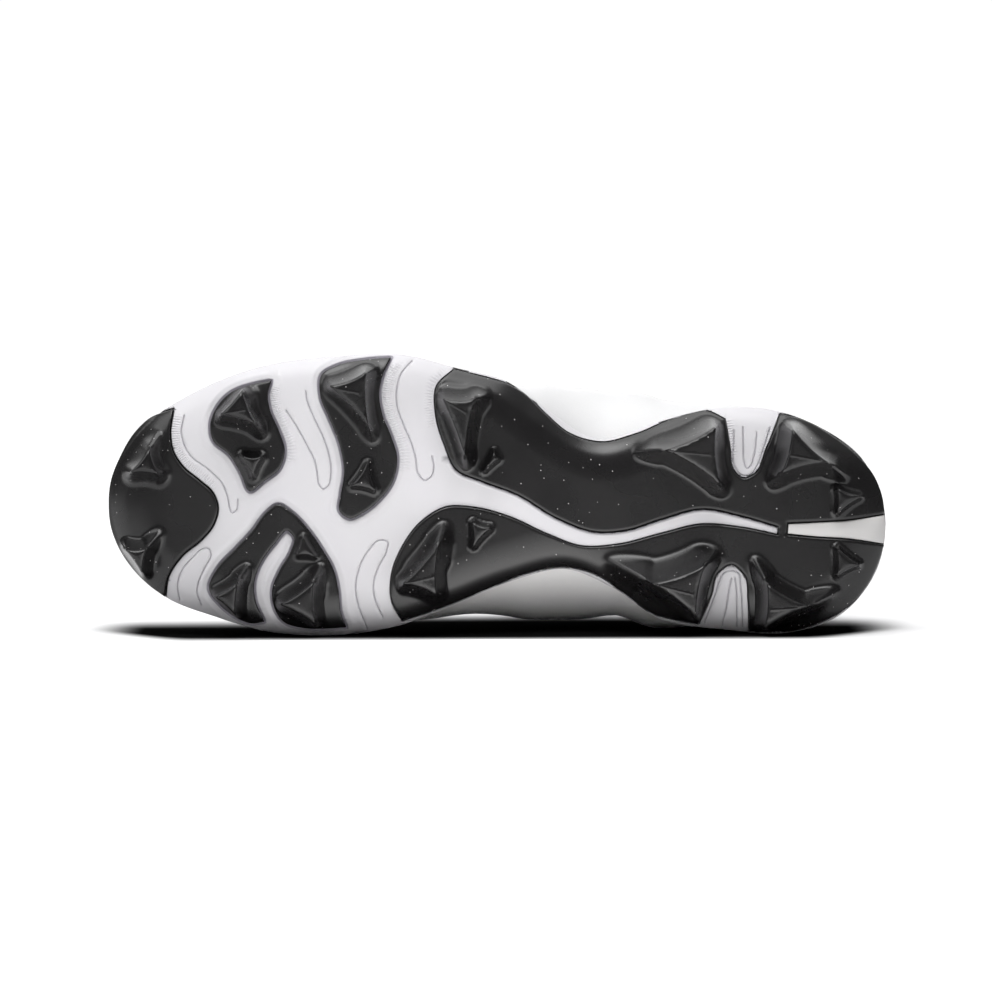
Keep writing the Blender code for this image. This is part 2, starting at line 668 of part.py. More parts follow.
def make_upper(material):
    """Hollow upper: outer and inner faces a wall apart, with a raised eyestay and a padded collar."""
    at = np.arange(UPPER_ROWS) * len(BASE_OUTLINE) / UPPER_ROWS
    levels = np.array(UPPER_LEVELS)
    skin = last_surface(at, levels)
    normals = surface_normals(at, levels)
    stay = np.clip(section_column("eyestay", at), 0.0, 1.0)
    lift = np.where(levels[None, :] >= EYESTAY_STARTS, stay[:, None] * EYESTAY_RAISE, 0.0)
    swell = np.clip((levels - 0.5) / 0.35, 0.0, 1.0)
    depth = WALL + section_column("padding", at)[:, None] * swell[None, :]
    outer = skin + normals * lift[..., None]
    inner = skin - normals * depth[..., None]
    inner[:, 0, 2] = skin[:, 0, 2]
    rows = len(at)
    count = len(levels)
    vertices = [*outer.reshape(-1, 3), *inner.reshape(-1, 3)]
    faces = []
    for row in range(rows):
        here = row * count
        there = ((row + 1) % rows) * count
        hidden = rows * count
        for level in range(count - 1):
            faces.append((here + level, there + level, there + level + 1, here + level + 1))
            faces.append((hidden + here + level + 1, hidden + there + level + 1,
                          hidden + there + level, hidden + here + level))
        for level in (0, count - 1):
            faces.append((here + level, there + level, hidden + there + level, hidden + here + level))
    return link_mesh("upper", vertices, faces, material)


def closed_last():
    """Search tree over the whole last, with the throat closed up to the crest."""
    at = np.linspace(0.0, len(BASE_OUTLINE), 129)
    levels = np.linspace(0.0, 1.0, 25)
    grid = last_surface(at, levels, covered=False)
    count = len(levels)
    faces = [(row * count + level, row * count + level + 1,
              (row + 1) * count + level + 1, (row + 1) * count + level)
             for row in range(len(at) - 1) for level in range(count - 1)]
    return BVHTree.FromPolygons([Vector(point) for point in grid.reshape(-1, 3)], faces)


def instep_point(tree, along, across, out):
    """Point at a distance outside the instep, at a place along and across the shoe.

    The crest is rounded over, and past the last eyelets the instep goes on straight along it.
    """
    reach = min(along, INSTEP_END)
    spot = Vector()
    normal = Vector()
    for aside in (-CREST_ROUND, 0.0, CREST_ROUND):
        above = Vector((reach, across + aside, 2.0 * INSTEP))
        hit, facing, _, _ = tree.ray_cast(above, Vector((0.0, 0.0, -1.0)))
        spot += hit / 3.0
        normal += facing if facing.z > 0.0 else -facing
    slope = (crest(INSTEP_END)[2] - crest(INSTEP_END - 10.0)[2]) / 10.0
    beyond = along - reach
    return spot + normal.normalized() * out + Vector((beyond, 0.0, beyond * slope))


TONGUE_OUTLINE = (
    (77.0, -1.5), (81.0, -12.5), (96.0, -20.0), (118.0, -22.0), (138.0, -18.5), (151.0, -11.0),
    (165.0, -11.5), (171.5, -8.0), (173.0, 0.5), (171.5, 9.0), (165.0, 12.5), (151.0, 12.0),
    (138.0, 19.0), (118.0, 20.5), (96.0, 16.5), (81.0, 9.5),
)


def make_tongue(tree, material):
    """Padded tongue that follows the inside of the instep and stands up past the top eyelets."""
    outline = Loop(TONGUE_OUTLINE).sampled(6.0)
    patch = plan_patch(outline, filling(outline, 8.0, ()))
    faces = []
    for depth in (WALL + TONGUE_CLEAR + TONGUE_THICK, WALL + TONGUE_CLEAR):
        faces.append(np.array([instep_point(tree, along, across, -depth)
                               for along, across in patch.points]))
    count = len(patch.points)
    vertices = [*faces[0], *faces[1]]
    triangles = [tuple(face) for face in patch.triangles]
    triangles += [tuple(count + number for number in face) for face in patch.triangles]
    size = len(patch.rim)
    for number in range(size):
        here, there = patch.rim[number], patch.rim[(number + 1) % size]
        triangles.append((here, there, count + there, count + here))
    return link_mesh("tongue", vertices, triangles, material)


def make_insole(material):
    """Insole on the base's top, inside the foot of the upper, with a rim that cups the foot."""
    outline = BASE_EDGE + inward_normals(BASE_EDGE) * (WELT + WALL + INSOLE_CLEAR)
    outline = thinned(outline, 6.0)
    patch = plan_patch(outline, filling(outline, 16.0, (INSOLE_CUP,)))
    floor = sole_height("top", patch.points[:, 0]) + INSOLE_SEAT
    cup = np.clip(1.0 - edge_distance(patch.points, outline) / INSOLE_CUP, 0.0, 1.0)
    return closed_solid("insole", patch, floor, patch, floor + INSOLE_THICK + INSOLE_EDGE * cup, material)


class Eyelet(NamedTuple):
    """Middle of an eyelet on the outer face of the eyestay, and the outward direction there."""

    spot: np.ndarray
    outward: np.ndarray


def eyelets(places):
    """Eyelets of one side from the toe up; places holds the first and last section of the row."""
    at = np.linspace(*places, 60)
    tops = section_column("along", at)
    wanted = np.linspace(EYELETS_FROM, EYELETS_TO, EYELET_ROWS) * LENGTH
    rows = np.interp(wanted, tops, at)
    spots = last_surface(rows, [EYELET_PLACE])[:, 0]
    normals = surface_normals_at(rows, EYELET_PLACE)
    return [Eyelet(spot + normal * EYESTAY_RAISE, normal) for spot, normal in zip(spots, normals)]


def surface_normals_at(rows, level):
    """Outward normals at one level of some sections."""
    return surface_normals(rows, [level])[:, 0]


def punch_eyelets(upper, sides, cutters):
    """Round eyelet holes through the eyestay."""
    shaped = bmesh.new()
    for side in sides:
        for eyelet in side:
            turn = Vector((0.0, 0.0, 1.0)).rotation_difference(Vector(eyelet.outward))
            place = Matrix.Translation(Vector(eyelet.spot) * MM) @ turn.to_matrix().to_4x4()
            bmesh.ops.create_cone(shaped, cap_ends=True, segments=8, radius1=EYELET_RADIUS * MM,
                                  radius2=EYELET_RADIUS * MM, depth=4.0 * WALL * MM, matrix=place)
    mesh = bpy.data.meshes.new("eyelet_holes")
    shaped.to_mesh(mesh)
    shaped.free()
    holes = bpy.data.objects.new("eyelet_holes", mesh)
    add_cutter(holes, cutters)
    cut = upper.modifiers.new("eyelet_holes", "BOOLEAN")
    cut.object = holes


def add_cutter(thing, cutters):
    """Put a shape that only cuts or joins into its own collection, out of the model."""
    thing.hide_render = True
    thing.display_type = "WIRE"
    cutters.objects.link(thing)


def lace_run(name, tree, start, end, over):
    """One run of the lace over the tongue, from eyelet to eyelet, as a closed tube."""
    lift = EYESTAY_RAISE + LACE_CLEAR + LACE_RADIUS
    points = [Vector(start.spot + start.outward * (lift - EYESTAY_RAISE))]
    for part in (0.25, 0.5, 0.75):
        along, across = (start.spot + (end.spot - start.spot) * part)[:2]
        points.append(instep_point(tree, along, across, lift + over))
    points.append(Vector(end.spot + end.outward * (lift - EYESTAY_RAISE)))
    points[0] += (points[0] - points[1]).normalized() * LACE_PAST
    points[-1] += (points[-1] - points[-2]).normalized() * LACE_PAST
    path = bpy.data.curves.new(name, "CURVE")
    path.dimensions = "3D"
    path.bevel_depth = LACE_RADIUS * MM
    path.bevel_resolution = 0
    path.use_fill_caps = True
    spline = path.splines.new("POLY")
    spline.points.add(len(points) - 1)
    for spot, point in zip(spline.points, points):
        spot.co = (*(point * MM), 1.0)
    drawn = bpy.data.objects.new(name + "_path", path)
    bpy.context.scene.collection.objects.link(drawn)
    bpy.context.view_layer.update()
    mesh = bpy.data.meshes.new_from_object(drawn.evaluated_get(bpy.context.evaluated_depsgraph_get()))
    bpy.data.objects.remove(drawn)
    shaped = bmesh.new()
    shaped.from_mesh(mesh)
    bmesh.ops.remove_doubles(shaped, verts=shaped.verts, dist=0.00001)
    bmesh.ops.recalc_face_normals(shaped, faces=shaped.faces)
    shaped.to_mesh(mesh)
    shaped.free()
    return bpy.data.objects.new(name, mesh)


def make_lace(tree, outer, inner, cutters, material):
    """Lace: a bar over the first pair of eyelets and crossed runs up to the top pair, joined."""
    ends = [(outer[0], inner[0], 0.0)]
    for row in range(EYELET_ROWS - 1):
        ends.append((outer[row], inner[row + 1], 0.0))
        ends.append((inner[row], outer[row + 1], LACE_OVER))
    runs = [lace_run(f"lace_run_{number}", tree, *run) for number, run in enumerate(ends)]
    lace = runs[0]
    lace.name = "lace"
    lace.data.materials.append(material)
    for run in runs[1:]:
        add_cutter(run, cutters)
        join = lace.modifiers.new(run.name, "BOOLEAN")
        join.operation = "UNION"
        join.object = run
    return lace


def material(name, colour, roughness):
    """Principled material of one piece."""
    made = bpy.data.materials.new(name)
    made.use_nodes = True
    shader = made.node_tree.nodes["Principled BSDF"]
    shader.inputs["Base Color"].default_value = (*colour, 1.0)
    shader.inputs["Roughness"].default_value = roughness
    shader.inputs["Metallic"].default_value = 0.0
    made.diffuse_color = (*colour, 1.0)
    return made


def collection(name):
    """New collection in the scene."""
    made = bpy.data.collections.new(name)
    bpy.context.scene.collection.children.link(made)
    return made


def lay_down(parts, cutters, shoe):
    """Parent parts and cutters to one empty that lays the shoe on its inner side, on the floor."""
    rest = bpy.data.objects.new("lying_shoe", None)
    shoe.objects.link(rest)
    rest.rotation_euler = (math.radians(-90.0 - LEAN_DEG), math.radians(TURN_DEG), 0.0)
    for thing in (*parts, *cutters.objects):
        thing.parent = rest
    turn = rest.rotation_euler.to_matrix()
    corners = np.array([turn @ vertex.co for thing in parts for vertex in thing.data.vertices])
    low, high = corners.min(axis=0), corners.max(axis=0)
    rest.location = (-(low[0] + high[0]) / 2, -(low[1] + high[1]) / 2, -low[2])


def main():
    """Build every piece of the shoe and lay it down."""
    for thing in list(bpy.data.objects):
        bpy.data.objects.remove(thing)
    shoe = collection("softball_cleat")
    cutters = collection("cutters")
    black = {"colour": (0.022, 0.021, 0.022), "roughness": 0.28}
    tree = closed_last()
    outer = eyelets(OUTER_EYELETS)
    inner = eyelets(INNER_EYELETS)
    upper = make_upper(material("upper", (0.86, 0.86, 0.87), 0.45))
    punch_eyelets(upper, (outer, inner), cutters)
    parts = [
        upper,
        make_base(material("outsole_base", (0.80, 0.79, 0.81), 0.5)),
        make_insole(material("insole", (0.62, 0.62, 0.64), 0.85)),
        make_tongue(tree, material("tongue", (0.82, 0.82, 0.83), 0.8)),
        make_lace(tree, outer, inner, cutters, material("lace", (0.85, 0.85, 0.86), 0.85)),
        make_plate("heel_insert", HEEL_INSERT, (), material("heel_insert", (0.74, 0.73, 0.73), 0.5)),
    ]
    for name, outline, studs in PLATES:
        parts.append(make_plate(name, outline, studs, material(name, **black)))
    for thing in parts:
        shoe.objects.link(thing)
    lay_down(parts, cutters, shoe)


if __name__ == "__main__":
    main()
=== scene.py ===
"""Looks of a left softball cleat that lies on its inner side, with the sole towards the camera.

Every piece is shaped in the shoe's own frame, in millimetres: along runs from the toe tip to the heel,
across is plus on the inner side and minus on the outer side, and height counts from the plane that the
stud tips stand on. LYING lays those points down in the frame of the CAD.
"""

import logging
import math
from dataclasses import dataclass
from enum import Enum
from typing import Callable, NamedTuple, Sequence

import bpy
import numpy as np
from mathutils import Euler, Matrix, Vector
from mathutils.bvhtree import BVHTree
from mathutils.geometry import delaunay_2d_cdt


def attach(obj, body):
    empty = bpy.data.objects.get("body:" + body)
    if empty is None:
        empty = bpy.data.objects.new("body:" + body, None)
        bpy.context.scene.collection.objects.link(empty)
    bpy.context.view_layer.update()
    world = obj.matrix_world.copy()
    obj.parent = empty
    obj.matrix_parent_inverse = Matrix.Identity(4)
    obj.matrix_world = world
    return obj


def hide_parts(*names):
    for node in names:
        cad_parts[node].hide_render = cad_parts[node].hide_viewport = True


Array = np.ndarray
Thing = bpy.types.Object
Tree = bpy.types.NodeTree

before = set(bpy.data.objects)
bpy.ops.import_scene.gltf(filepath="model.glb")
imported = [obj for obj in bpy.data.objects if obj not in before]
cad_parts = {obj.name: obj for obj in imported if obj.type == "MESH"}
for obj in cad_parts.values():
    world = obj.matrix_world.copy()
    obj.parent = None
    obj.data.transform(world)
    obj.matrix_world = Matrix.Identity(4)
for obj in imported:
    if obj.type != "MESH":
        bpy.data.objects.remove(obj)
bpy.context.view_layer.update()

logging.basicConfig(level=logging.INFO, format="%(message)s")
log = logging.getLogger("softball_cleat")

MM = 0.001
BODY = "root"

# How the shoe lies: lean and turn of the sole in degrees, and its own origin in the frame, in metres
LEAN = -92.71
TURN = 0.17
ORIGIN = (-0.13559543, -0.054200884, 0.044656828)
LYING = (Matrix.Translation(ORIGIN)
         @ Euler((math.radians(LEAN), math.radians(TURN), 0.0)).to_matrix().to_4x4())

# Driving sizes of the shoe, in millimetres
LENGTH = 272.0
BALL_WIDTH = 97.0
INSTEP = 101.0
HEEL = 85.0

# Gap between pieces, wall of the upper and its step in from the base's edge, in millimetres
GAP = 0.3
WALL = 2.0
WELT = 2.4

# Rows that directions on the last are taken over
SPREAD_ROWS = 2.6

# Rows of the upper's mesh up the outside, over the edge and down the inside, and the row that is sewn
OUTSIDE_ROWS = 60
ROLL_ROWS = 8
INSIDE_ROWS = 24
WALL_ROWS = OUTSIDE_ROWS + ROLL_ROWS + INSIDE_ROWS + 1
STITCHED_ROW = 48

# Fineness in millimetres: steps along outlines, lengths that count as nought and points that are one
BASE_STEP = 1.5
EDGE_STEP = 0.8
SEAM = 0.001
MERGED = 1e-5
TINY = 1e-9

# Distances that are worked out at once
AT_ONCE = 3_000_000

# Eyestay, eyelets, end of the instep, rounding of its crest, and the rolls that lift the base's edge
EYESTAY_RAISE = 0.9
EYESTAY_STARTS = 0.76
EYELET_PLACE = 0.88
EYELET_ROWS = 6
EYELETS_FROM = 0.375
EYELETS_TO = 0.537
OUTER_EYELETS = (4.2, 9.0)
INNER_EYELETS = (28.8, 23.5)
INSTEP_END = 147.0
CREST_ROUND = 5.0
EDGE_RISE = 3.2
EDGE_REACH = 15.0
LIP_RISE = 1.8
LIP_REACH = 6.5


class Corner(Enum):
    """How an outline runs through one of its rows."""

    SMOOTH = "smooth"
    SHARP = "sharp"


SHARP = Corner.SHARP


class SoleStation(NamedTuple):
    """Heights of the white base at one place along the shoe."""

    along: float
    underside: float
    top: float


class Crest(NamedTuple):
    """A point on the top line of the instep."""

    along: float
    across: float
    height: float


class Section(NamedTuple):
    """One line of the upper from the sole's edge to the crest or the collar.

    at counts the rows of the base's outline. lean is the outward lean at the sole and drop the slope at
    the upper end, in degrees; the pulls are the lengths that those directions hold. edge is the share of
    the line that the upper covers, and padding is what the collar adds to the wall.
    """

    at: float
    lean: float
    low_pull: float
    along: float
    across: float
    height: float
    drop: float
    high_pull: float
    edge: float
    eyestay: float
    padding: float


class Stud(NamedTuple):
    """A stud or nub: its tip, its flank's reach, its ridges, parting line and longer upper flank."""

    corners: tuple
    tip: float
    reach: float
    ridges: tuple = ()
    parting: tuple = ()
    above: float = 0.0


SOLE_STATIONS = tuple(SoleStation(*row) for row in (
    (0.0, 24.0, 32.0), (14.0, 19.0, 28.0), (40.0, 14.6, 24.0),
    (80.0, 12.5, 21.5), (112.0, 13.0, 21.5), (140.0, 15.4, 22.5),
    (168.0, 17.2, 24.0), (195.0, 16.0, 24.5), (225.0, 14.6, 24.0),
    (250.0, 14.6, 24.0), (272.0, 16.4, 25.0),
))

# The white base from the toe tip, down the outer side to the heel and back along the inner side
BASE_OUTLINE = (
    (0.6, -2.0), (5.4, -19.4), (15.5, -31.6), (31.0, -41.3), (54.0, -50.0), (80.0, -53.4),
    (104.0, -53.9), (122.0, -49.4), (139.0, -45.0), (151.0, -36.6), (172.5, -24.6), (190.5, -30.2),
    (210.5, -35.2), (231.0, -35.0), (248.5, -28.8), (262.5, -18.6), (271.2, 2.0), (267.8, 21.5),
    (255.5, 36.4), (239.0, 42.4), (215.0, 41.6), (193.0, 38.0), (176.0, 27.0), (160.0, 20.6),
    (141.0, 24.7), (119.0, 33.6), (101.0, 40.4), (80.0, 43.4), (57.0, 42.4), (38.0, 37.2),
    (19.5, 29.8), (6.0, 16.2),
)

CREST_LINE = (
    Crest(96.0, -2.0, 0.69 * INSTEP), Crest(114.0, -1.5, 0.77 * INSTEP),
    Crest(133.0, -0.5, 0.88 * INSTEP), Crest(152.0, 0.5, 1.0 * INSTEP),
)

PLATE_TOE = (
    (23.0, -35.2, SHARP), (14.8, -32.2), (9.2, -27.0), (4.2, -18.8), (0.7, -9.8), (0.0, -1.5),
    (0.7, 5.5), (3.4, 12.8), (8.5, 20.4), (14.5, 26.3), (20.0, 30.2, SHARP), (21.2, 23.5),
    (26.5, 15.5), (33.0, 10.2), (37.3, 4.8), (38.7, -1.0), (36.9, -6.0), (32.5, -10.0),
    (26.5, -15.0), (23.0, -20.5), (22.0, -26.5),
)
STUDS_TOE = (
    Stud(((15.2, -20.8), (8.9, -13.2), (18.4, -12.6)), 8.0, 5.6, ((19.0, -28.5), (23.0, -13.0)), (), 1.5),
    Stud(((7.0, 13.6), (14.2, 13.6), (12.8, 21.8)), 8.0, 5.0, ((20.3, 6.0), (5.4, 9.4))),
)

PLATE_OUTER_FRONT = (
    (57.5, -45.0, SHARP), (50.5, -43.6), (43.0, -40.6), (39.0, -36.5), (36.3, -30.0), (37.0, -24.5),
    (43.0, -19.0), (47.0, -12.5), (50.0, -6.5), (55.0, -10.0), (60.5, -14.5), (62.2, -20.5),
    (60.0, -28.0), (57.0, -35.0), (56.3, -40.0),
)
STUDS_OUTER_FRONT = (
    Stud(((40.2, -33.0), (47.8, -41.8), (52.2, -30.0)), 0.0, 5.2, ((56.2, -24.2),),
         ((40.8, -33.0), (49.2, -34.7)), 2.0),
    Stud(((47.8, -18.6), (54.0, -18.2), (51.2, -12.0)), 7.0, 3.6),
)

PLATE_OUTER_REAR = (
    (75.0, -47.0), (80.5, -50.3), (89.5, -52.2), (99.0, -53.0, SHARP), (96.3, -47.0), (95.0, -41.0),
    (96.0, -33.5), (99.0, -26.0), (101.2, -18.5), (99.5, -9.5), (95.0, -3.5), (89.0, 1.2),
    (84.5, 2.9), (81.3, 0.5), (81.6, -5.0), (82.8, -13.0), (81.3, -22.5), (77.8, -31.5),
    (74.6, -39.5),
)
STUDS_OUTER_REAR = (
    Stud(((78.0, -42.8), (90.6, -47.6), (91.4, -29.4)), 0.0, 5.0, ((93.8, -22.6),),
         ((78.6, -42.2), (88.4, -40.4)), 2.0),
    Stud(((91.0, -16.2), (85.7, -8.5), (93.4, -6.9)), 7.0, 2.8),
)

PLATE_INNER = (
    (59.8, -2.0), (64.5, 0.6), (70.0, 6.2), (75.5, 14.0), (79.2, 20.7), (80.9, 28.0), (81.6, 35.5),
    (83.5, 40.7, SHARP), (74.5, 41.2), (67.5, 40.8), (61.8, 38.8), (58.6, 34.0), (57.8, 28.0),
    (60.8, 20.2), (64.3, 14.2), (65.4, 9.5), (63.2, 7.2), (58.8, 11.6), (54.2, 17.8), (51.7, 24.5),
    (51.8, 30.5), (55.0, 38.8, SHARP), (50.5, 39.4), (44.5, 37.0), (39.5, 32.9), (35.8, 27.5),
    (38.6, 20.4), (45.0, 13.5), (50.8, 7.3), (56.0, 0.6),
)
STUDS_INNER = (
    Stud(((46.4, 25.0), (37.8, 29.8), (45.6, 36.4)), 0.0, 4.6, ((50.4, 18.0),)),
    Stud(((72.4, 25.1), (61.0, 32.5), (73.2, 39.2)), 0.0, 5.0, ((76.1, 17.8),),
         ((61.6, 34.6), (67.0, 34.9)), 1.5),
    Stud(((66.9, 15.4), (72.8, 16.0), (68.7, 9.5)), 7.2, 3.0),
)

# The outer arm, the outer notch of the heel, the heel with the slot of its insert, the inner notch and
# the inner arm
PLATE_REAR = (
    (121.0, -49.0, SHARP), (127.0, -47.4), (134.0, -45.6), (140.0, -43.7), (145.5, -40.4),
    (152.5, -33.6), (161.0, -26.6), (172.5, -23.6), (184.0, -26.3), (198.5, -32.2), (209.0, -34.4),
    (215.0, -31.6, SHARP), (216.6, -22.0), (218.2, -13.5), (221.5, -11.0), (225.4, -12.6),
    (229.6, -21.5), (234.4, -33.4, SHARP), (243.0, -31.2), (252.0, -26.2), (260.8, -19.4),
    (266.8, -12.6), (270.0, -5.0), (271.0, 1.2, SHARP), (258.0, 3.2), (245.0, 4.0),
    (236.6, 4.3, SHARP), (236.2, 8.6, SHARP), (246.0, 9.5), (258.0, 10.3), (270.7, 12.2, SHARP),
    (268.6, 18.6), (264.6, 26.6), (258.5, 33.0), (250.0, 38.2), (241.0, 41.4), (230.0, 42.2),
    (223.7, 42.2, SHARP), (223.2, 31.0), (222.2, 23.0), (217.3, 18.8), (212.4, 22.0), (210.2, 29.5),
    (206.0, 39.6, SHARP), (197.0, 37.9), (189.5, 35.8), (180.5, 29.2), (170.5, 22.4), (160.0, 19.8),
    (147.0, 21.7), (131.0, 28.0), (115.0, 34.4), (103.0, 38.4, SHARP), (99.6, 32.0), (99.4, 22.5),
    (103.2, 12.6), (110.0, 3.8), (118.0, -0.9), (128.0, -0.8), (140.0, 2.4), (153.0, 8.3),
    (165.0, 12.6), (178.0, 12.0), (193.0, 8.2), (207.0, 5.0), (220.0, 6.0), (233.6, 8.7, SHARP),
    (233.6, 5.7, SHARP), (221.0, 2.0), (207.0, -0.5), (193.0, 3.0), (181.0, 6.8), (170.0, 7.4),
    (157.0, 2.8), (143.0, -5.5), (130.0, -10.4), (122.0, -14.0), (117.6, -23.0), (114.6, -34.0),
    (115.0, -43.0),
)
STUDS_REAR = (
    Stud(((116.9, -38.8), (128.0, -38.2), (124.7, -19.0)), 0.0, 5.0, ((125.4, -13.0), (134.4, -40.0)),
         ((117.6, -38.2), (125.4, -33.4)), 2.0),
    Stud(((131.4, -13.6), (134.9, -20.5), (136.3, -17.8)), 7.8, 2.0),
    Stud(((115.4, 12.2), (103.2, 25.4), (114.9, 29.2)), 0.0, 5.0, ((118.3, 3.2),),
         ((103.2, 25.8), (114.6, 22.9)), 2.0),
    Stud(((127.3, 4.2), (133.6, 6.2), (127.6, 12.6)), 7.8, 2.6),
    Stud(((194.3, -20.7), (211.3, -28.8), (212.6, -9.2)), 0.0, 6.0, ((215.8, -4.2), (182.0, -19.6)),
         ((194.6, -20.4), (209.6, -19.1)), 4.0),
    Stud(((237.8, -28.0), (249.8, -16.5), (234.2, -12.8)), 0.0, 6.0, ((258.6, -10.2), (229.6, -7.2)),
         ((236.4, -19.1), (249.4, -16.6)), 3.0),
    Stud(((189.8, 25.4), (207.4, 19.2), (204.6, 37.0)), 0.0, 6.4, ((171.8, 16.2), (213.6, 13.2)),
         ((190.2, 25.8), (203.9, 29.2)), 4.0),
    Stud(((229.2, 25.5), (243.2, 33.0), (228.2, 40.8)), 0.0, 5.6, ((224.0, 15.2), (256.0, 27.2)),
         ((230.1, 34.4), (242.2, 33.9))),
    Stud(((253.8, -7.6), (261.8, -4.8), (253.8, 1.0)), 7.8, 2.6),
    Stud(((253.7, 13.0), (261.5, 19.0), (253.7, 22.8)), 7.8, 2.6),
)

HEEL_INSERT = (
    (237.1, 4.9, SHARP), (245.0, 4.5), (258.0, 3.7), (270.8, 1.8, SHARP), (271.2, 6.5),
    (270.6, 11.6, SHARP), (258.0, 9.8), (246.0, 9.0), (236.8, 8.1, SHARP),
)

# Thin grooves moulded in the white base, five in the forefoot and five in the heel
GROOVES = (
    ((27.1, -33.0), (26.1, -27.1), (28.8, -19.5), (35.8, -13.9), (40.3, -9.4), (42.4, -4.2),
     (43.1, -0.3), (43.8, 1.0), (45.2, 0.3), (45.9, -3.8)),
    ((25.4, 31.3), (24.7, 26.1), (26.7, 20.5), (30.6, 16.0), (33.4, 13.5), (35.8, 13.5), (36.5, 15.3),
     (34.4, 20.1), (32.3, 24.7), (31.6, 28.5), (33.0, 33.0)),
    ((62.5, -34.7), (66.0, -29.5), (70.2, -21.9), (72.6, -17.0), (73.6, -11.8), (74.0, -9.0),
     (75.7, -7.3), (77.1, -8.3), (78.2, -12.9), (77.5, -19.5), (75.4, -25.7), (71.9, -33.0),
     (69.8, -38.6), (69.5, -41.3)),
    ((106.3, -51.8), (102.5, -47.2), (101.1, -42.4), (101.1, -36.5), (103.2, -30.2), (106.0, -23.6),
     (107.7, -17.7), (108.4, -12.9), (110.8, -10.4), (113.3, -12.2), (113.9, -15.6), (113.3, -18.8)),
    ((90.7, 41.0), (87.9, 33.7), (86.8, 27.1), (87.9, 20.5), (91.4, 13.9), (95.2, 10.4), (98.0, 11.1),
     (97.6, 14.2), (94.8, 19.8), (93.1, 25.0), (93.5, 30.9), (96.2, 37.2)),
    ((221.3, -28.9), (221.4, -22.6), (221.7, -16.8), (222.6, -14.5), (224.0, -15.4), (224.9, -18.0),
     (225.5, -20.8), (226.2, -27.1)),
    ((218.1, -27.8), (218.1, -24.9), (218.5, -15.0), (220.8, -12.2), (223.7, -12.2), (226.3, -15.6),
     (228.3, -20.8), (229.8, -25.5), (230.7, -28.5)),
    ((208.1, 39.4), (209.6, 34.7), (211.3, 30.1), (213.0, 24.9), (214.5, 22.0), (217.4, 21.1),
     (219.7, 22.0), (220.5, 26.6), (221.1, 33.6), (221.4, 40.5)),
    ((214.2, 40.5), (215.6, 33.6), (216.5, 27.8), (217.4, 23.7)),
    ((219.4, 40.5), (219.2, 33.6), (219.1, 27.8), (218.5, 23.7)),
)

TONGUE_OUTLINE = (
    (77.0, -1.5), (81.0, -12.5), (96.0, -20.0), (118.0, -22.0), (138.0, -18.5), (151.0, -11.0),
    (165.0, -11.5), (171.5, -8.0), (173.0, 0.5), (171.5, 9.0), (165.0, 12.5), (151.0, 12.0),
    (138.0, 19.0), (118.0, 20.5), (96.0, 16.5), (81.0, 9.5),
)


def hermite(start: Array, end: Array, leave: Array, arrive: Array, part: Array) -> Array:
    """Cubic between two values, with the slopes that it leaves and arrives with, at shares of the way."""
    square = part * part
    cube = square * part
    return ((2 * cube - 3 * square + 1) * start + (cube - 2 * square + part) * leave
            + (3 * square - 2 * cube) * end + (cube - square) * arrive)


def curve_through(places: Sequence[float], values: Sequence[float], at: Array) -> Array:
    """Smooth curve through the values given at rising places."""
    places = np.asarray(places, float)
    values = np.asarray(values, float)
    slopes = np.gradient(values, places)
    at = np.clip(np.asarray(at, float), places[0], places[-1])
    left = np.clip(np.searchsorted(places, at, side="right") - 1, 0, len(places) - 2)
    span = places[left + 1] - places[left]
    part = (at - places[left]) / span
    return hermite(values[left], values[left + 1], slopes[left] * span, slopes[left + 1] * span, part)


def smooth_step(low: float, high: float, value: Array) -> Array:
    """Share that goes softly from nought at low to one at high."""
    part = np.clip((value - low) / (high - low), 0.0, 1.0)
    return part * part * (3.0 - 2.0 * part)


def soft_larger(first: Array, second: Array, blend: float) -> Array:
    """Larger of two values, with a soft passage where they are nearly alike."""
    near = np.clip(1.0 - np.abs(first - second) / blend, 0.0, 1.0)
    return np.maximum(first, second) + blend * near * near * 0.25


class Loop:
    """Smooth closed curve through the rows of an outline; a row marked SHARP keeps its corner."""

    def __init__(self, rows: Sequence[tuple]) -> None:
        """Take the rows and work out the direction of the curve at each."""
        self.spots = np.array([row[:2] for row in rows], float)
        corners = [row[2] if len(row) > 2 else Corner.SMOOTH for row in rows]
        self.sharp = np.array([corner is Corner.SHARP for corner in corners])
        following = np.roll(self.spots, -1, axis=0)
        self.lengths = np.linalg.norm(following - self.spots, axis=1)
        self.ahead = (following - self.spots) / self.lengths[:, None]
        behind = np.roll(self.ahead, 1, axis=0)
        before = np.roll(self.lengths, 1)[:, None]
        after = self.lengths[:, None]
        self.tangents = (behind * after + self.ahead * before) / (before + after)

    def at(self, places: Sequence[float]) -> Array:
        """Points of the curve at places that count the rows."""
        places = np.asarray(places, float) % len(self.spots)
        left = places.astype(int)
        right = (left + 1) % len(self.spots)
        length = self.lengths[left][:, None]
        straight = self.ahead[left]
        leave = np.where(self.sharp[left][:, None], straight, self.tangents[left]) * length
        arrive = np.where(self.sharp[right][:, None], straight, self.tangents[right]) * length
        part = (places - left)[:, None]
        return hermite(self.spots[left], self.spots[right], leave, arrive, part)

    def sampled(self, spacing: float) -> Array:
        """Points of the curve about the given spacing apart, with every row among them."""
        places = []
        for row, length in enumerate(self.lengths):
            pieces = max(1, round(length / spacing))
            places.extend(row + step / pieces for step in range(pieces))
        return self.at(places)


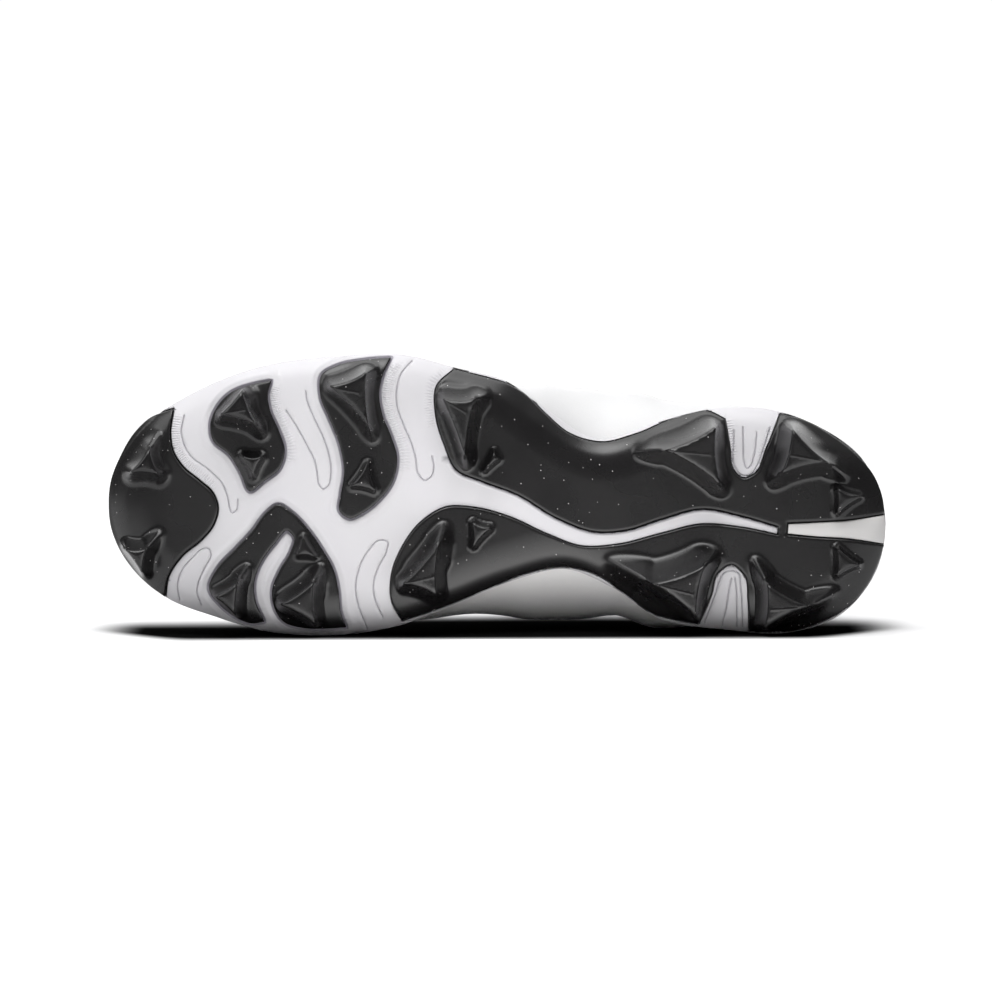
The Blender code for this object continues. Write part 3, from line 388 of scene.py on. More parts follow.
class Path:
    """A line of plan points, open or closed, that distances are measured from."""

    def __init__(self, spots: Array, closed: bool = True) -> None:
        """Take the points of the line in order."""
        self.spots = np.asarray(spots, float)
        self.closed = closed
        ends = np.roll(self.spots, -1, axis=0)
        self.starts = self.spots if closed else self.spots[:-1]
        self.runs = (ends if closed else ends[:-1]) - self.starts
        lengths = np.linalg.norm(self.runs, axis=1)
        self.lengths = np.maximum(lengths, TINY)
        self.arc = np.concatenate([[0.0], np.cumsum(self.lengths)])[:-1]

    def nearest(self, points: Array) -> tuple[Array, Array]:
        """Distance of points from the line, and the length along the line to the nearest place.

        Args:
            points: Plan points, one a row.

        Returns:
            The distances and the lengths.
        """
        apart = np.empty(len(points))
        along = np.empty(len(points))
        step = max(1, AT_ONCE // len(self.starts))
        for first in range(0, len(points), step):
            offset = points[first:first + step, None, :] - self.starts[None, :, :]
            part = (offset * self.runs).sum(-1) / (self.lengths * self.lengths)
            np.clip(part, 0.0, 1.0, out=part)
            offset -= part[..., None] * self.runs
            square = (offset * offset).sum(-1)
            pick = square.argmin(axis=1)
            rows = np.arange(len(pick))
            apart[first:first + step] = np.sqrt(square[rows, pick])
            along[first:first + step] = self.arc[pick] + part[rows, pick] * self.lengths[pick]
        return apart, along

    def distance(self, points: Array) -> Array:
        """Distance of points from the line."""
        return self.nearest(points)[0]

    def holds(self, points: Array) -> Array:
        """Whether points lie inside the closed line."""
        inside = np.empty(len(points), bool)
        end = np.roll(self.spots, -1, axis=0)
        rise = np.where(self.spots[:, 1] == end[:, 1], 1.0, end[:, 1] - self.spots[:, 1])
        step = max(1, AT_ONCE // len(self.spots))
        for first in range(0, len(points), step):
            across = points[first:first + step, 1][:, None]
            spans = (self.spots[:, 1] > across) != (end[:, 1] > across)
            meets = self.spots[:, 0] + (across - self.spots[:, 1]) * (end[:, 0] - self.spots[:, 0]) / rise
            crossed = spans & (points[first:first + step, 0][:, None] < meets)
            inside[first:first + step] = crossed.sum(axis=1) % 2 == 1
        return inside

    def signed(self, points: Array) -> Array:
        """Distance from the closed line, counted minus inside it."""
        apart = self.distance(points)
        return np.where(self.holds(points), -apart, apart)

    def inward(self) -> Array:
        """Unit normals at the points of the closed line, pointing in."""
        run = np.roll(self.spots, -1, axis=0) - np.roll(self.spots, 1, axis=0)
        run /= np.maximum(np.linalg.norm(run, axis=1)[:, None], TINY)
        turned = np.stack([-run[:, 1], run[:, 0]], axis=1)
        following = np.roll(self.spots, -1, axis=0)
        area = np.sum(self.spots[:, 0] * following[:, 1] - following[:, 0] * self.spots[:, 1])
        return turned if area > 0 else -turned

    def clear(self, points: Array, distance: float) -> Array:
        """Those of some points that are farther than a distance from the line."""
        return points[self.distance(points) > distance]

    def inside(self, points: Array, distance: float) -> Array:
        """Those of some points that are inside the closed line by more than a distance."""
        return self.clear(points[self.holds(points)], distance)

    def beside(self, inset: float, spacing: float) -> Array:
        """Points on a ring at a distance inside the line, or outside it for a minus distance."""
        ring = self.spots + self.inward() * inset
        apart = self.signed(ring)
        return thinned(ring[np.abs(apart + inset) < 0.08 * abs(inset) + 0.02], spacing)


def thinned(points: Array, spacing: float) -> Array:
    """Points in order, leaving out any that is closer than the spacing to the last one kept."""
    kept = []
    for point in points:
        if not kept or math.dist(point, kept[-1]) >= spacing:
            kept.append(point)
    return np.array(kept).reshape(-1, 2)


def even_grid(outline: Array, spacing: float) -> Array:
    """Plan points of an even grid of triangles over the box of an outline."""
    low = outline.min(axis=0)
    high = outline.max(axis=0)
    rows = np.arange(low[1], high[1], spacing * math.sqrt(0.75))
    columns = np.arange(low[0] - spacing, high[0] + spacing, spacing)
    along = columns[None, :] + (np.arange(len(rows)) % 2)[:, None] * spacing / 2
    return np.column_stack([along.ravel(), np.repeat(rows, len(columns))])


def smooth_line(spots: Sequence[tuple], spacing: float) -> Array:
    """Points of a smooth open curve through some plan points."""
    spots = np.array(spots, float)
    lengths = np.linalg.norm(np.diff(spots, axis=0), axis=1)
    places = np.concatenate([[0.0], np.cumsum(lengths)])
    at = np.linspace(0.0, places[-1], max(2, round(places[-1] / spacing) + 1))
    return np.column_stack([curve_through(places, spots[:, axis], at) for axis in (0, 1)])


class Patch(NamedTuple):
    """A triangulated plan: its points, its triangles and the numbers of its rim points in order."""

    points: Array
    triangles: list
    rim: list


def plan_patch(outline: Array, inner: Array, loops: Sequence[Array] = (),
               creases: Sequence[Array] = ()) -> Patch:
    """Fill an outline with triangles.

    Args:
        outline: Points of the edge in order.
        inner: Points inside it.
        loops: Closed lines that stay edges of triangles.
        creases: Open lines that stay edges of triangles.

    Returns:
        The triangulated plan.
    """
    points = [Vector(point) for point in outline] + [Vector(point) for point in inner]
    count = len(outline)
    edges = [(number, (number + 1) % count) for number in range(count)]
    for line in (*loops, *creases):
        first = len(points)
        points.extend(Vector(point) for point in line)
        edges.extend((number, number + 1) for number in range(first, len(points) - 1))
    start = count + len(inner)
    for loop in loops:
        edges.append((start + len(loop) - 1, start))
        start += len(loop)
    spots, _, triangles, sources = delaunay_2d_cdt(points, edges, [], 1, MERGED)[:4]
    place = {source: number for number, group in enumerate(sources) for source in group}
    return Patch(np.array([tuple(spot) for spot in spots]), triangles,
                 [place[number] for number in range(count)])


def sole_height(column: str, along: Array) -> Array:
    """Height of one column of the sole's stations along the shoe."""
    places = [row.along for row in SOLE_STATIONS]
    return curve_through(places, [getattr(row, column) for row in SOLE_STATIONS], along)


def outside_band(points: Array, apart: Array, band: tuple) -> Array:
    """Those of some points whose distance lies outside a band, given by its middle and half its width."""
    middle, half = band
    return points[np.abs(apart - middle) > half]


def edge_of(rows: Sequence[tuple], step: float = EDGE_STEP) -> Path:
    """Line along the smooth closed curve through the rows of an outline."""
    return Path(Loop(rows).sampled(step))


class Rim(NamedTuple):
    """Net along the rim of a plan: the distance that its grid keeps, and its rings and their step."""

    clear: float
    rings: tuple
    step: float


def rimmed_patch(outline: Path, spacing: float, rim: Rim) -> Patch:
    """Fill an outline with an even grid and with rings along its rim."""
    rings = [outline.beside(inset, rim.step) for inset in rim.rings]
    grid = outline.inside(even_grid(outline.spots, spacing), rim.clear)
    return plan_patch(outline.spots, np.vstack([grid, *rings]))


BASE = Loop(BASE_OUTLINE)
BASE_EDGE = Path(BASE.sampled(BASE_STEP))


def underside(points: Array) -> Array:
    """Height of the white base's lower face, which rolls up towards its edge."""
    depth = np.clip(-BASE_EDGE.signed(points), 0.0, None)
    roll = EDGE_RISE * np.clip(1.0 - depth / EDGE_REACH, 0.0, 1.0) ** 2
    roll += LIP_RISE * np.clip(1.0 - depth / LIP_REACH, 0.0, 1.0) ** 2
    return sole_height("underside", points[:, 0]) + roll


def select_only(thing: Thing) -> None:
    """Make one object the active one and the only one that is selected."""
    bpy.ops.object.select_all(action="DESELECT")
    thing.select_set(True)
    bpy.context.view_layer.objects.active = thing


def shoe_points(thing: Thing) -> Array:
    """Points of an object's mesh in the shoe's own frame, in millimetres."""
    flat = np.empty(len(thing.data.vertices) * 3)
    thing.data.vertices.foreach_get("co", flat)
    back = np.array(LYING.inverted())
    return (flat.reshape(-1, 3) @ back[:3, :3].T + back[:3, 3]) / MM


def laid(points: Array) -> Array:
    """Shoe points in millimetres as points of the frame in metres."""
    turn = np.array(LYING)
    return np.asarray(points, float) * MM @ turn[:3, :3].T + turn[:3, 3]


def put_points(thing: Thing, points: Array) -> None:
    """Move the points of an object's mesh to shoe points in millimetres."""
    thing.data.vertices.foreach_set("co", laid(points).ravel())
    thing.data.update()


def shoe_object(name: str, vertices: Array, faces: Sequence[tuple]) -> Thing:
    """Mesh object in the scene from shoe points in millimetres and faces."""
    mesh = bpy.data.meshes.new(name)
    mesh.from_pydata(laid(vertices).tolist(), [], [tuple(face) for face in faces])
    thing = bpy.data.objects.new(name, mesh)
    bpy.context.scene.collection.objects.link(thing)
    select_only(thing)
    return thing


def keep_values(thing: Thing, name: str, values: Array) -> None:
    """Store one number per point of a mesh for its material to read."""
    thing.data.attributes.new(name, "FLOAT", "POINT").data.foreach_set("value", np.asarray(values, float))


def edit_whole(thing: Thing) -> None:
    """Go into edit mode on an object with all of its mesh selected."""
    select_only(thing)
    bpy.ops.object.mode_set(mode="EDIT")
    bpy.ops.mesh.select_all(action="SELECT")


def turn_outwards(thing: Thing, angle: float) -> None:
    """Turn an object's faces outwards and smooth its edges up to an angle in degrees."""
    edit_whole(thing)
    bpy.ops.mesh.normals_make_consistent(inside=False)
    bpy.ops.object.mode_set(mode="OBJECT")
    bpy.ops.object.shade_smooth_by_angle(angle=math.radians(angle))


def close_back(sheet: Thing, seat: Callable[[Array], Array]) -> None:
    """Extrude the rim of a sheet to its seat and fill the back.

    Args:
        sheet: Open mesh with one rim.
        seat: Height of the seat at plan points.
    """
    before = len(sheet.data.vertices)
    select_only(sheet)
    bpy.ops.object.mode_set(mode="EDIT")
    bpy.ops.mesh.select_mode(type="EDGE")
    bpy.ops.mesh.select_all(action="DESELECT")
    bpy.ops.mesh.select_non_manifold(extend=False)
    bpy.ops.mesh.extrude_edges_move()
    bpy.ops.object.mode_set(mode="OBJECT")
    points = shoe_points(sheet)
    points[before:, 2] = seat(points[before:, :2])
    put_points(sheet, points)
    bpy.ops.object.mode_set(mode="EDIT")
    bpy.ops.mesh.fill(use_beauty=True)
    bpy.ops.object.mode_set(mode="OBJECT")


class Wire:
    """An output socket of a shader node, with Python's operators as its maths."""

    def __init__(self, tree: Tree, socket: bpy.types.NodeSocket) -> None:
        """Hold the node tree and the socket."""
        self.tree = tree
        self.socket = socket

    @classmethod
    def node(cls, tree: Tree, kind: str, settings: dict | None = None,
             values: dict | None = None, output: int | str = 0) -> "Wire":
        """Add a node, with its settings first and then its socket values and links.

        Args:
            tree: Node tree of the material.
            kind: Type of the node.
            settings: Values of the node itself.
            values: Values or wires by socket name or number.
            output: Socket that the wire comes from.

        Returns:
            The wire.
        """
        made = tree.nodes.new(kind)
        for key, value in (settings or {}).items():
            setattr(made, key, value)
        for key, value in (values or {}).items():
            if isinstance(value, Wire):
                tree.links.new(value.socket, made.inputs[key])
            else:
                made.inputs[key].default_value = value
        return cls(tree, made.outputs[output])

    def maths(self, operation: str, *terms: "Wire | float") -> "Wire":
        """Maths node of some wires or numbers."""
        return Wire.node(self.tree, "ShaderNodeMath", {"operation": operation}, dict(enumerate(terms)))

    def __add__(self, other: "Wire | float") -> "Wire":
        """Sum."""
        return self.maths("ADD", self, other)

    def __radd__(self, other: float) -> "Wire":
        """Sum with the number first."""
        return self.maths("ADD", other, self)

    def __sub__(self, other: "Wire | float") -> "Wire":
        """Difference."""
        return self.maths("SUBTRACT", self, other)

    def __rsub__(self, other: float) -> "Wire":
        """Difference with the number first."""
        return self.maths("SUBTRACT", other, self)

    def __mul__(self, other: "Wire | float") -> "Wire":
        """Product."""
        return self.maths("MULTIPLY", self, other)

    def __rmul__(self, other: float) -> "Wire":
        """Product with the number first."""
        return self.maths("MULTIPLY", other, self)

    def __gt__(self, other: "Wire | float") -> "Wire":
        """One where this is the larger."""
        return self.maths("GREATER_THAN", self, other)

    def __abs__(self) -> "Wire":
        """Value without its sign."""
        return self.maths("ABSOLUTE", self)

    def sine(self) -> "Wire":
        """Sine."""
        return self.maths("SINE", self)

    def most(self, other: "Wire | float") -> "Wire":
        """Larger of two."""
        return self.maths("MAXIMUM", self, other)

    def axis(self, name: str) -> "Wire":
        """One part of a vector: X, Y or Z."""
        return Wire.node(self.tree, "ShaderNodeSeparateXYZ", values={0: self}, output=name)

    def ramp(self, low: float, high: float, start: float = 0.0, end: float = 1.0) -> "Wire":
        """Soft passage from start at low to end at high."""
        return Wire.node(self.tree, "ShaderNodeMapRange", {"interpolation_type": "SMOOTHSTEP"},
                         {0: self, 1: low, 2: high, 3: start, 4: end})

    def fade(self, low: float, high: float) -> "Wire":
        """Share that goes softly from one at low to nought at high."""
        return self.ramp(low, high, 1.0, 0.0)

    def window(self, first: float, second: float, third: float, fourth: float) -> "Wire":
        """Share that rises between the first two limits and falls between the last two."""
        return self.ramp(first, second) * self.fade(third, fourth)

    def mixed(self, first: "Wire | tuple", second: "Wire | tuple") -> "Wire":
        """Colour between two, by this share of the second."""
        return Wire.node(self.tree, "ShaderNodeMix", {"data_type": "RGBA"}, {0: self, 6: first, 7: second},
                         output=2)


Colour = tuple[float, float, float, float]


def colour(red: float, green: float, blue: float) -> Colour:
    """Colour with full cover."""
    return red, green, blue, 1.0


class Grain(NamedTuple):
    """Fine noise that stands up: the size of its lumps and their height in millimetres, and its detail."""

    size: float
    raise_by: float
    detail: float


class Cloud(NamedTuple):
    """Broad soft noise: the size of its lumps in millimetres, its detail and the noise that it spans."""

    size: float
    detail: float
    low: float
    high: float


class Surface:
    """A material's node tree and its principled shader, which a finish paints."""

    def __init__(self, tree: Tree) -> None:
        """Hold the node tree and find its shader."""
        self.tree = tree
        self.shader = tree.nodes["Principled BSDF"]

    def place(self) -> Wire:
        """Coordinates of the object itself, in metres."""
        return Wire.node(self.tree, "ShaderNodeTexCoord", output="Object")

    def own_map(self) -> Wire:
        """Map of the grid that a piece was wrapped from."""
        return Wire.node(self.tree, "ShaderNodeUVMap", {"uv_map": "UVMap"})

    def value(self, name: str) -> Wire:
        """Number that the mesh keeps at its points."""
        return Wire.node(self.tree, "ShaderNodeAttribute", {"attribute_name": name}, output="Fac")

    def noise(self, size: float, detail: float) -> Wire:
        """Cloudy noise with lumps of a size in millimetres."""
        return Wire.node(self.tree, "ShaderNodeTexNoise", values={
            "Vector": self.place(), "Scale": 1.0 / (size * MM), "Detail": detail})

    def clouds(self, cloud: Cloud) -> Wire:
        """Share of a broad soft noise."""
        return self.noise(cloud.size, cloud.detail).ramp(cloud.low, cloud.high)

    def cells(self, size: float, output: str) -> Wire:
        """Scattered cells of a size in millimetres."""
        return Wire.node(self.tree, "ShaderNodeTexVoronoi", values={
            "Vector": self.place(), "Scale": 1.0 / (size * MM)}, output=output)

    def bump(self, height: Wire, millimetres: float, under: Wire | None = None) -> Wire:
        """Normal of a surface that stands up by a share of a full height, on another normal or on none."""
        values = {"Height": height, "Distance": millimetres * MM, "Strength": 1.0}
        if under:
            values["Normal"] = under
        return Wire.node(self.tree, "ShaderNodeBump", values=values)

    def grained(self, grain: Grain, under: Wire | None = None) -> Wire:
        """Normal of a fine grain."""
        return self.bump(self.noise(grain.size, grain.detail), grain.raise_by, under)

    def link(self, **wires: Wire) -> None:
        """Link wires to the shader's sockets, named with underscores for spaces."""
        for name, wire in wires.items():
            self.tree.links.new(wire.socket, self.shader.inputs[name.replace("_", " ")])


@dataclass(frozen=True)
class Finish:
    """A material with one principled shader, which the finishes below vary."""

    name: str
    tone: Colour
    roughness: float
    specular: float = 0.5

    def material(self) -> bpy.types.Material:
        """Make the material: its plain values first and then what varies."""
        made = bpy.data.materials.new(self.name)
        made.use_nodes = True
        face = Surface(made.node_tree)
        for name, value in (("Base Color", self.tone), ("Roughness", self.roughness),
                            ("Specular IOR Level", self.specular)):
            face.shader.inputs[name].default_value = value
        made.diffuse_color = self.tone
        self.vary(face)
        return made

    def vary(self, face: Surface) -> None:
        """Link what varies over the surface."""
        raise NotImplementedError

    def around_roughness(self, share: Wire, spread: float) -> Wire:
        """Roughness that varies with a share, by a spread around the finish's own."""
        return share * spread + (self.roughness - spread / 2)


@dataclass(frozen=True)
class BlackMoulding(Finish):
    """Glossy black plastic with a faint moulded grain and scattered pale dust."""

    worn: Colour = colour(0.0085, 0.008, 0.0083)
    worn_span: tuple = (0.2, 0.8)
    dull_span: tuple = (0.15, 0.85)
    dull_change: tuple = (-0.02, 0.04)
    patches: tuple = (22.0, 3.0)
    dust: Colour = colour(0.62, 0.6, 0.6)
    dust_pitch: float = 2.4
    dust_size: tuple = (0.045, 0.075)
    dust_pick: float = 0.45
    dust_dull: float = 0.3
    grain: Grain = Grain(0.45, 0.012, 3.0)

    def vary(self, face: Surface) -> None:
        """Dust specks, dull patches and a fine grain."""
        near = face.cells(self.dust_pitch, "Distance")
        pick = Wire.node(face.tree, "ShaderNodeSeparateColor",
                         values={0: face.cells(self.dust_pitch, "Color")})
        speck = near.fade(*self.dust_size) * (pick > self.dust_pick)
        patch = face.noise(*self.patches)
        worn = patch.ramp(*self.worn_span).mixed(self.tone, self.worn)
        dull = patch.ramp(*self.dull_span, *(self.roughness + change for change in self.dull_change))
        face.link(Base_Color=speck.mixed(worn, self.dust),
                  Roughness=dull + speck * self.dust_dull, Normal=face.grained(self.grain))


@dataclass(frozen=True)
class WhiteMoulding(Finish):
    """Satin white plastic with fine hatch ribs and painted shade: grey in the grooves and rib troughs, lilac
    on the pads' lips, dark on the recess wall, near black along the plates.
    """

    shade: Colour = colour(0.53, 0.515, 0.55)
    shade_share: float = 0.35
    cloud: Cloud = Cloud(18.0, 3.0, 0.35, 0.8)
    gloss_spread: float = 0.12
    # Painted shade: grey that darkens the grooves, and the troughs of the hatch ribs
    shaded_groove: Colour = colour(0.40, 0.39, 0.42)
    groove_half: tuple = (0.1, 0.3)
    groove_shade_share: float = 0.7
    groove_bump: float = 0.2
    # Painted shade: lilac grey on the sloping lip of the base around the forefoot pads
    shaded_lip: Colour = colour(0.31, 0.295, 0.335)
    lip_shade_band: tuple = (0.75, 0.95)
    # Painted shade: dark grey on the downward facing wall of the stripe's recess
    shaded_recess: Colour = colour(0.18, 0.175, 0.19)
    # Painted shade: near black in the narrow gap of the base along the plates
    gap_shade: Colour = colour(0.012, 0.012, 0.012)
    rib_pitch: float = 0.9
    rib_shade_share: float = 0.35
    rib_bump: float = 0.16
    grain: Grain = Grain(0.6, 0.03, 3.0)

    def vary(self, face: Surface) -> None:
        """Painted shade from the distances kept on the mesh, painted shade and bump of the ribs, and a fine
        grain.
        """
        shaded_groove = face.value("shaded_groove").fade(*self.groove_half)
        wave = (face.value("run") * (2.0 * math.pi / self.rib_pitch)).sine() * 0.5 + 0.5
        rib = wave * face.value("ribbed")
        cloud = face.clouds(self.cloud)
        tinted = (cloud * self.shade_share).mixed(self.tone, self.shade)
        # painted shade in the troughs of the hatch ribs
        tinted = (rib * self.rib_shade_share).mixed(tinted, self.shaded_groove)
        # painted shade on the recess wall along the stripe
        tinted = face.value("wall").mixed(tinted, self.shaded_recess)
        # painted lilac shade on the lips beside the pads
        tinted = face.value("shaded_lip").fade(*self.lip_shade_band).mixed(tinted, self.shaded_lip)
        # painted shade in the grooves
        tinted = (shaded_groove * self.groove_shade_share).mixed(tinted, self.shaded_groove)
        # painted shade in the gaps along the plates
        tinted = face.value("gap_shade").mixed(tinted, self.gap_shade)
        ribs = face.bump(rib, self.rib_bump, face.grained(self.grain))
        face.link(Base_Color=tinted,
                  Normal=face.bump(1.0 - shaded_groove, self.groove_bump, ribs),
                  Roughness=self.around_roughness(cloud, self.gloss_spread))


@dataclass(frozen=True)
class SatinMoulding(Finish):
    """Satin plastic or thread with a soft cloud and a fine grain."""

    shade: Colour = colour(0.6, 0.59, 0.58)
    shade_share: float = 0.4
    cloud: Cloud = Cloud(9.0, 3.0, 0.3, 0.8)
    gloss_spread: float = 0.14
    grain: Grain = Grain(0.4, 0.012, 2.0)

    def vary(self, face: Surface) -> None:
        """Cloud in the tone and the gloss, and a fine grain."""
        cloud = face.clouds(self.cloud)
        face.link(Base_Color=(cloud * self.shade_share).mixed(self.tone, self.shade),
                  Roughness=self.around_roughness(cloud, self.gloss_spread),
                  Normal=face.grained(self.grain))


@dataclass
class Piece:
    """A finished piece of the shoe: its name, the CAD node that it stands for and its record slot."""

    name: str
    node: str
    slot: str

    def report(self, thing: Thing) -> Thing:
        """Let a piece ride the shoe's body and stand for its CAD node, and log it."""
        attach(thing, BODY)
        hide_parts(self.node)
        faces = sum(len(face.vertices) - 2 for face in thing.data.polygons)
        log.info("%s: %d triangles", thing.name, faces)
        return thing

    def dress(self, thing: Thing, *finishes: Finish) -> None:
        """Give a piece its materials."""
        for finish in finishes:
            thing.data.materials.append(finish.material())


@dataclass
class TreadPlate(Piece):
    """Black tread plate with its studs and nubs, moulded over the white base."""

    rows: tuple
    studs: tuple
    finish: Finish
    thick: float = 1.9
    rim: float = 0.6
    rim_drop: float = 0.2
    spacing: float = 0.62
    flank_power: float = 1.45
    foot_soft: float = 2.2
    crest_half: float = 0.65
    crest_round: float = 0.25
    hollow: float = 0.17
    tip_round: float = 0.3
    parting_raise: float = 0.14
    rim_rings: tuple = (0.16, 0.5, 1.1)
    rim_step: float = 0.6
    tip_rings: tuple = (-0.45, 0.3, 0.75, 1.3)
    tip_step: float = 0.5
    tip_band: tuple = (0.45, 1.4)
    tip_clear: float = 0.3
    ridge_clear: float = 0.4
    ridge_end: float = 0.3
    parting_points: int = 24
    parting_clear: float = 0.5
    parting_sides: tuple = (-0.3, 0.3)
    on_line: float = 0.02
    smooth: float = 62.0

    def tip_path(self, stud: Stud) -> Path:
        """Edge of a stud's flat tip: three corners with the sides between them drawn in."""
        corners = np.array(stud.corners, float)
        middle = corners.mean(axis=0)
        spots = []
        for start, end in zip(corners, np.roll(corners, -1, axis=0)):
            half = (start + end) / 2
            pull = half + (middle - half) * self.hollow * 2.0
            for part in np.linspace(0.03, 0.97, 12):
                spots.append((1 - part) ** 2 * start + 2 * part * (1 - part) * pull + part ** 2 * end)
        return Path(np.array(spots))

    def ridge(self, stud: Stud, end: tuple) -> Array:
        """Plan line down one ridge of a stud, from the nearest corner of its tip."""
        corners = np.array(stud.corners, float)
        end = np.array(end, float)
        start = corners[np.argmin(np.linalg.norm(corners - end, axis=1))]
        count = max(3, round(np.linalg.norm(end - start) / 0.7))
        return start + (end - start) * np.linspace(0.0, 1.0, count)[:, None]

    def share(self, points: Array, stud: Stud, edge: Array) -> Array:
        """Share of a stud's full height at plan points: a hollow flank that ends at the plate's edge."""
        middle = np.mean(stud.corners, axis=0)[1]
        reach = stud.reach + stud.above * smooth_step(0.0, 5.0, middle - points[:, 1])
        apart = self.tip_path(stud).signed(points)
        away = (apart + np.sqrt(apart * apart + self.tip_round ** 2)) / 2
        run_out = ((away / reach) ** 4 + (away / (away + edge + 1e-6)) ** 4) ** 0.25
        share = np.clip(1.0 - run_out, 0.0, 1.0) ** self.flank_power
        for end in stud.ridges:
            line = self.ridge(stud, end)
            run = line[-1] - line[0]
            part = np.clip((points - line[0]) @ run / (run @ run), 0.0, 1.0)
            beside = np.linalg.norm(points - line[0] - part[:, None] * run, axis=1)
            beside -= self.crest_half * np.clip(4.0 * part, 0.0, 1.0)
            beside = (beside + np.sqrt(beside * beside + self.crest_round ** 2)) / 2
            half = reach * (1.0 - 0.5 * part)
            run_out = ((beside / half) ** 4 + (beside / (beside + edge + 1e-6)) ** 4) ** 0.25
            crown = (1.0 - part) * np.clip(1.0 - run_out, 0.0, 1.0) ** self.flank_power
            share = soft_larger(share, crown * np.clip(edge / self.rim, 0.0, 1.0), 0.03)
        return np.clip(share, 0.0, 1.0)

    def face(self, points: Array, edge: Array) -> Array:
        """Height of the plate's ground face: its skin, rounded rim, studs and nubs."""
        inside = 1.0 - np.clip(edge / self.rim, 0.0, 1.0)
        rounding = 1.0 - np.sqrt(np.clip(1.0 - inside * inside, 0.0, 1.0))
        skin = underside(points) - GAP - self.thick * (1.0 - self.rim_drop * rounding)
        stand = np.zeros(len(points))
        for stud in self.studs:
            full = skin - stud.tip
            rise = np.hypot(full * self.share(points, stud, edge), self.foot_soft) - self.foot_soft
            stand = np.maximum(stand, rise * full / (np.hypot(full, self.foot_soft) - self.foot_soft))
        return skin - np.minimum(stand, skin)

    def build(self) -> Thing:
        """Model the plate and dress it."""
        outline = edge_of(self.rows)
        grid = outline.inside(even_grid(outline.spots, self.spacing), self.rim_rings[-1] + self.spacing / 2)
        loops = []
        creases = []
        rings = [outline.beside(inset, self.rim_step) for inset in self.rim_rings]
        for stud in self.studs:
            tip = self.tip_path(stud)
            grid = outside_band(grid, tip.signed(grid), self.tip_band)
            loops.append(tip.spots)
            for end in stud.ridges:
                line = self.ridge(stud, end)[1:]
                grid = Path(line, closed=False).clear(grid, self.ridge_clear)
                creases.append(outline.clear(line, self.ridge_end))
            if stud.parting:
                line = np.linspace(*np.array(stud.parting, float), self.parting_points)
                grid = Path(line, closed=False).clear(grid, self.parting_clear)
                creases.append(line)
                run = (line[-1] - line[0]) / np.linalg.norm(line[-1] - line[0])
                rings += [line[1:-1] + np.array([-run[1], run[0]]) * side for side in self.parting_sides]
            for inset in self.tip_rings:
                ring = tip.beside(-inset, self.tip_step)
                rings.append(outline.inside(ring, self.rim_rings[-1] + self.tip_clear))
        patch = plan_patch(outline.spots, np.vstack([grid, *rings]), loops,
                           [line for line in creases if len(line) > 1])
        heights = self.face(patch.points, outline.distance(patch.points))
        for stud in self.studs:
            if stud.parting:
                line = Path(np.array(stud.parting, float), closed=False)
                heights -= self.parting_raise * (line.distance(patch.points) < self.on_line)
        plate = shoe_object(self.name, np.column_stack([patch.points, heights]), patch.triangles)
        close_back(plate, lambda points: underside(points) - GAP)
        turn_outwards(plate, self.smooth)
        self.dress(plate, self.finish)
        return self.report(plate)


@dataclass
class HeelInsert(TreadPlate):
    """Pale wedge between the two halves of the rear plate, slightly domed."""

    dome: float = 0.5

    def face(self, points: Array, edge: Array) -> Array:
        """Height of the insert's ground face, domed between its rounded edges."""
        return super().face(points, edge) - self.dome * np.clip(edge / 3.0, 0.0, 1.0) ** 0.7


class RibBand(NamedTuple):
    """A band of hatch ribs beside a plate: its outline, the box it stays in and its distances."""

    rows: tuple
    along: tuple
    across: tuple
    apart: tuple


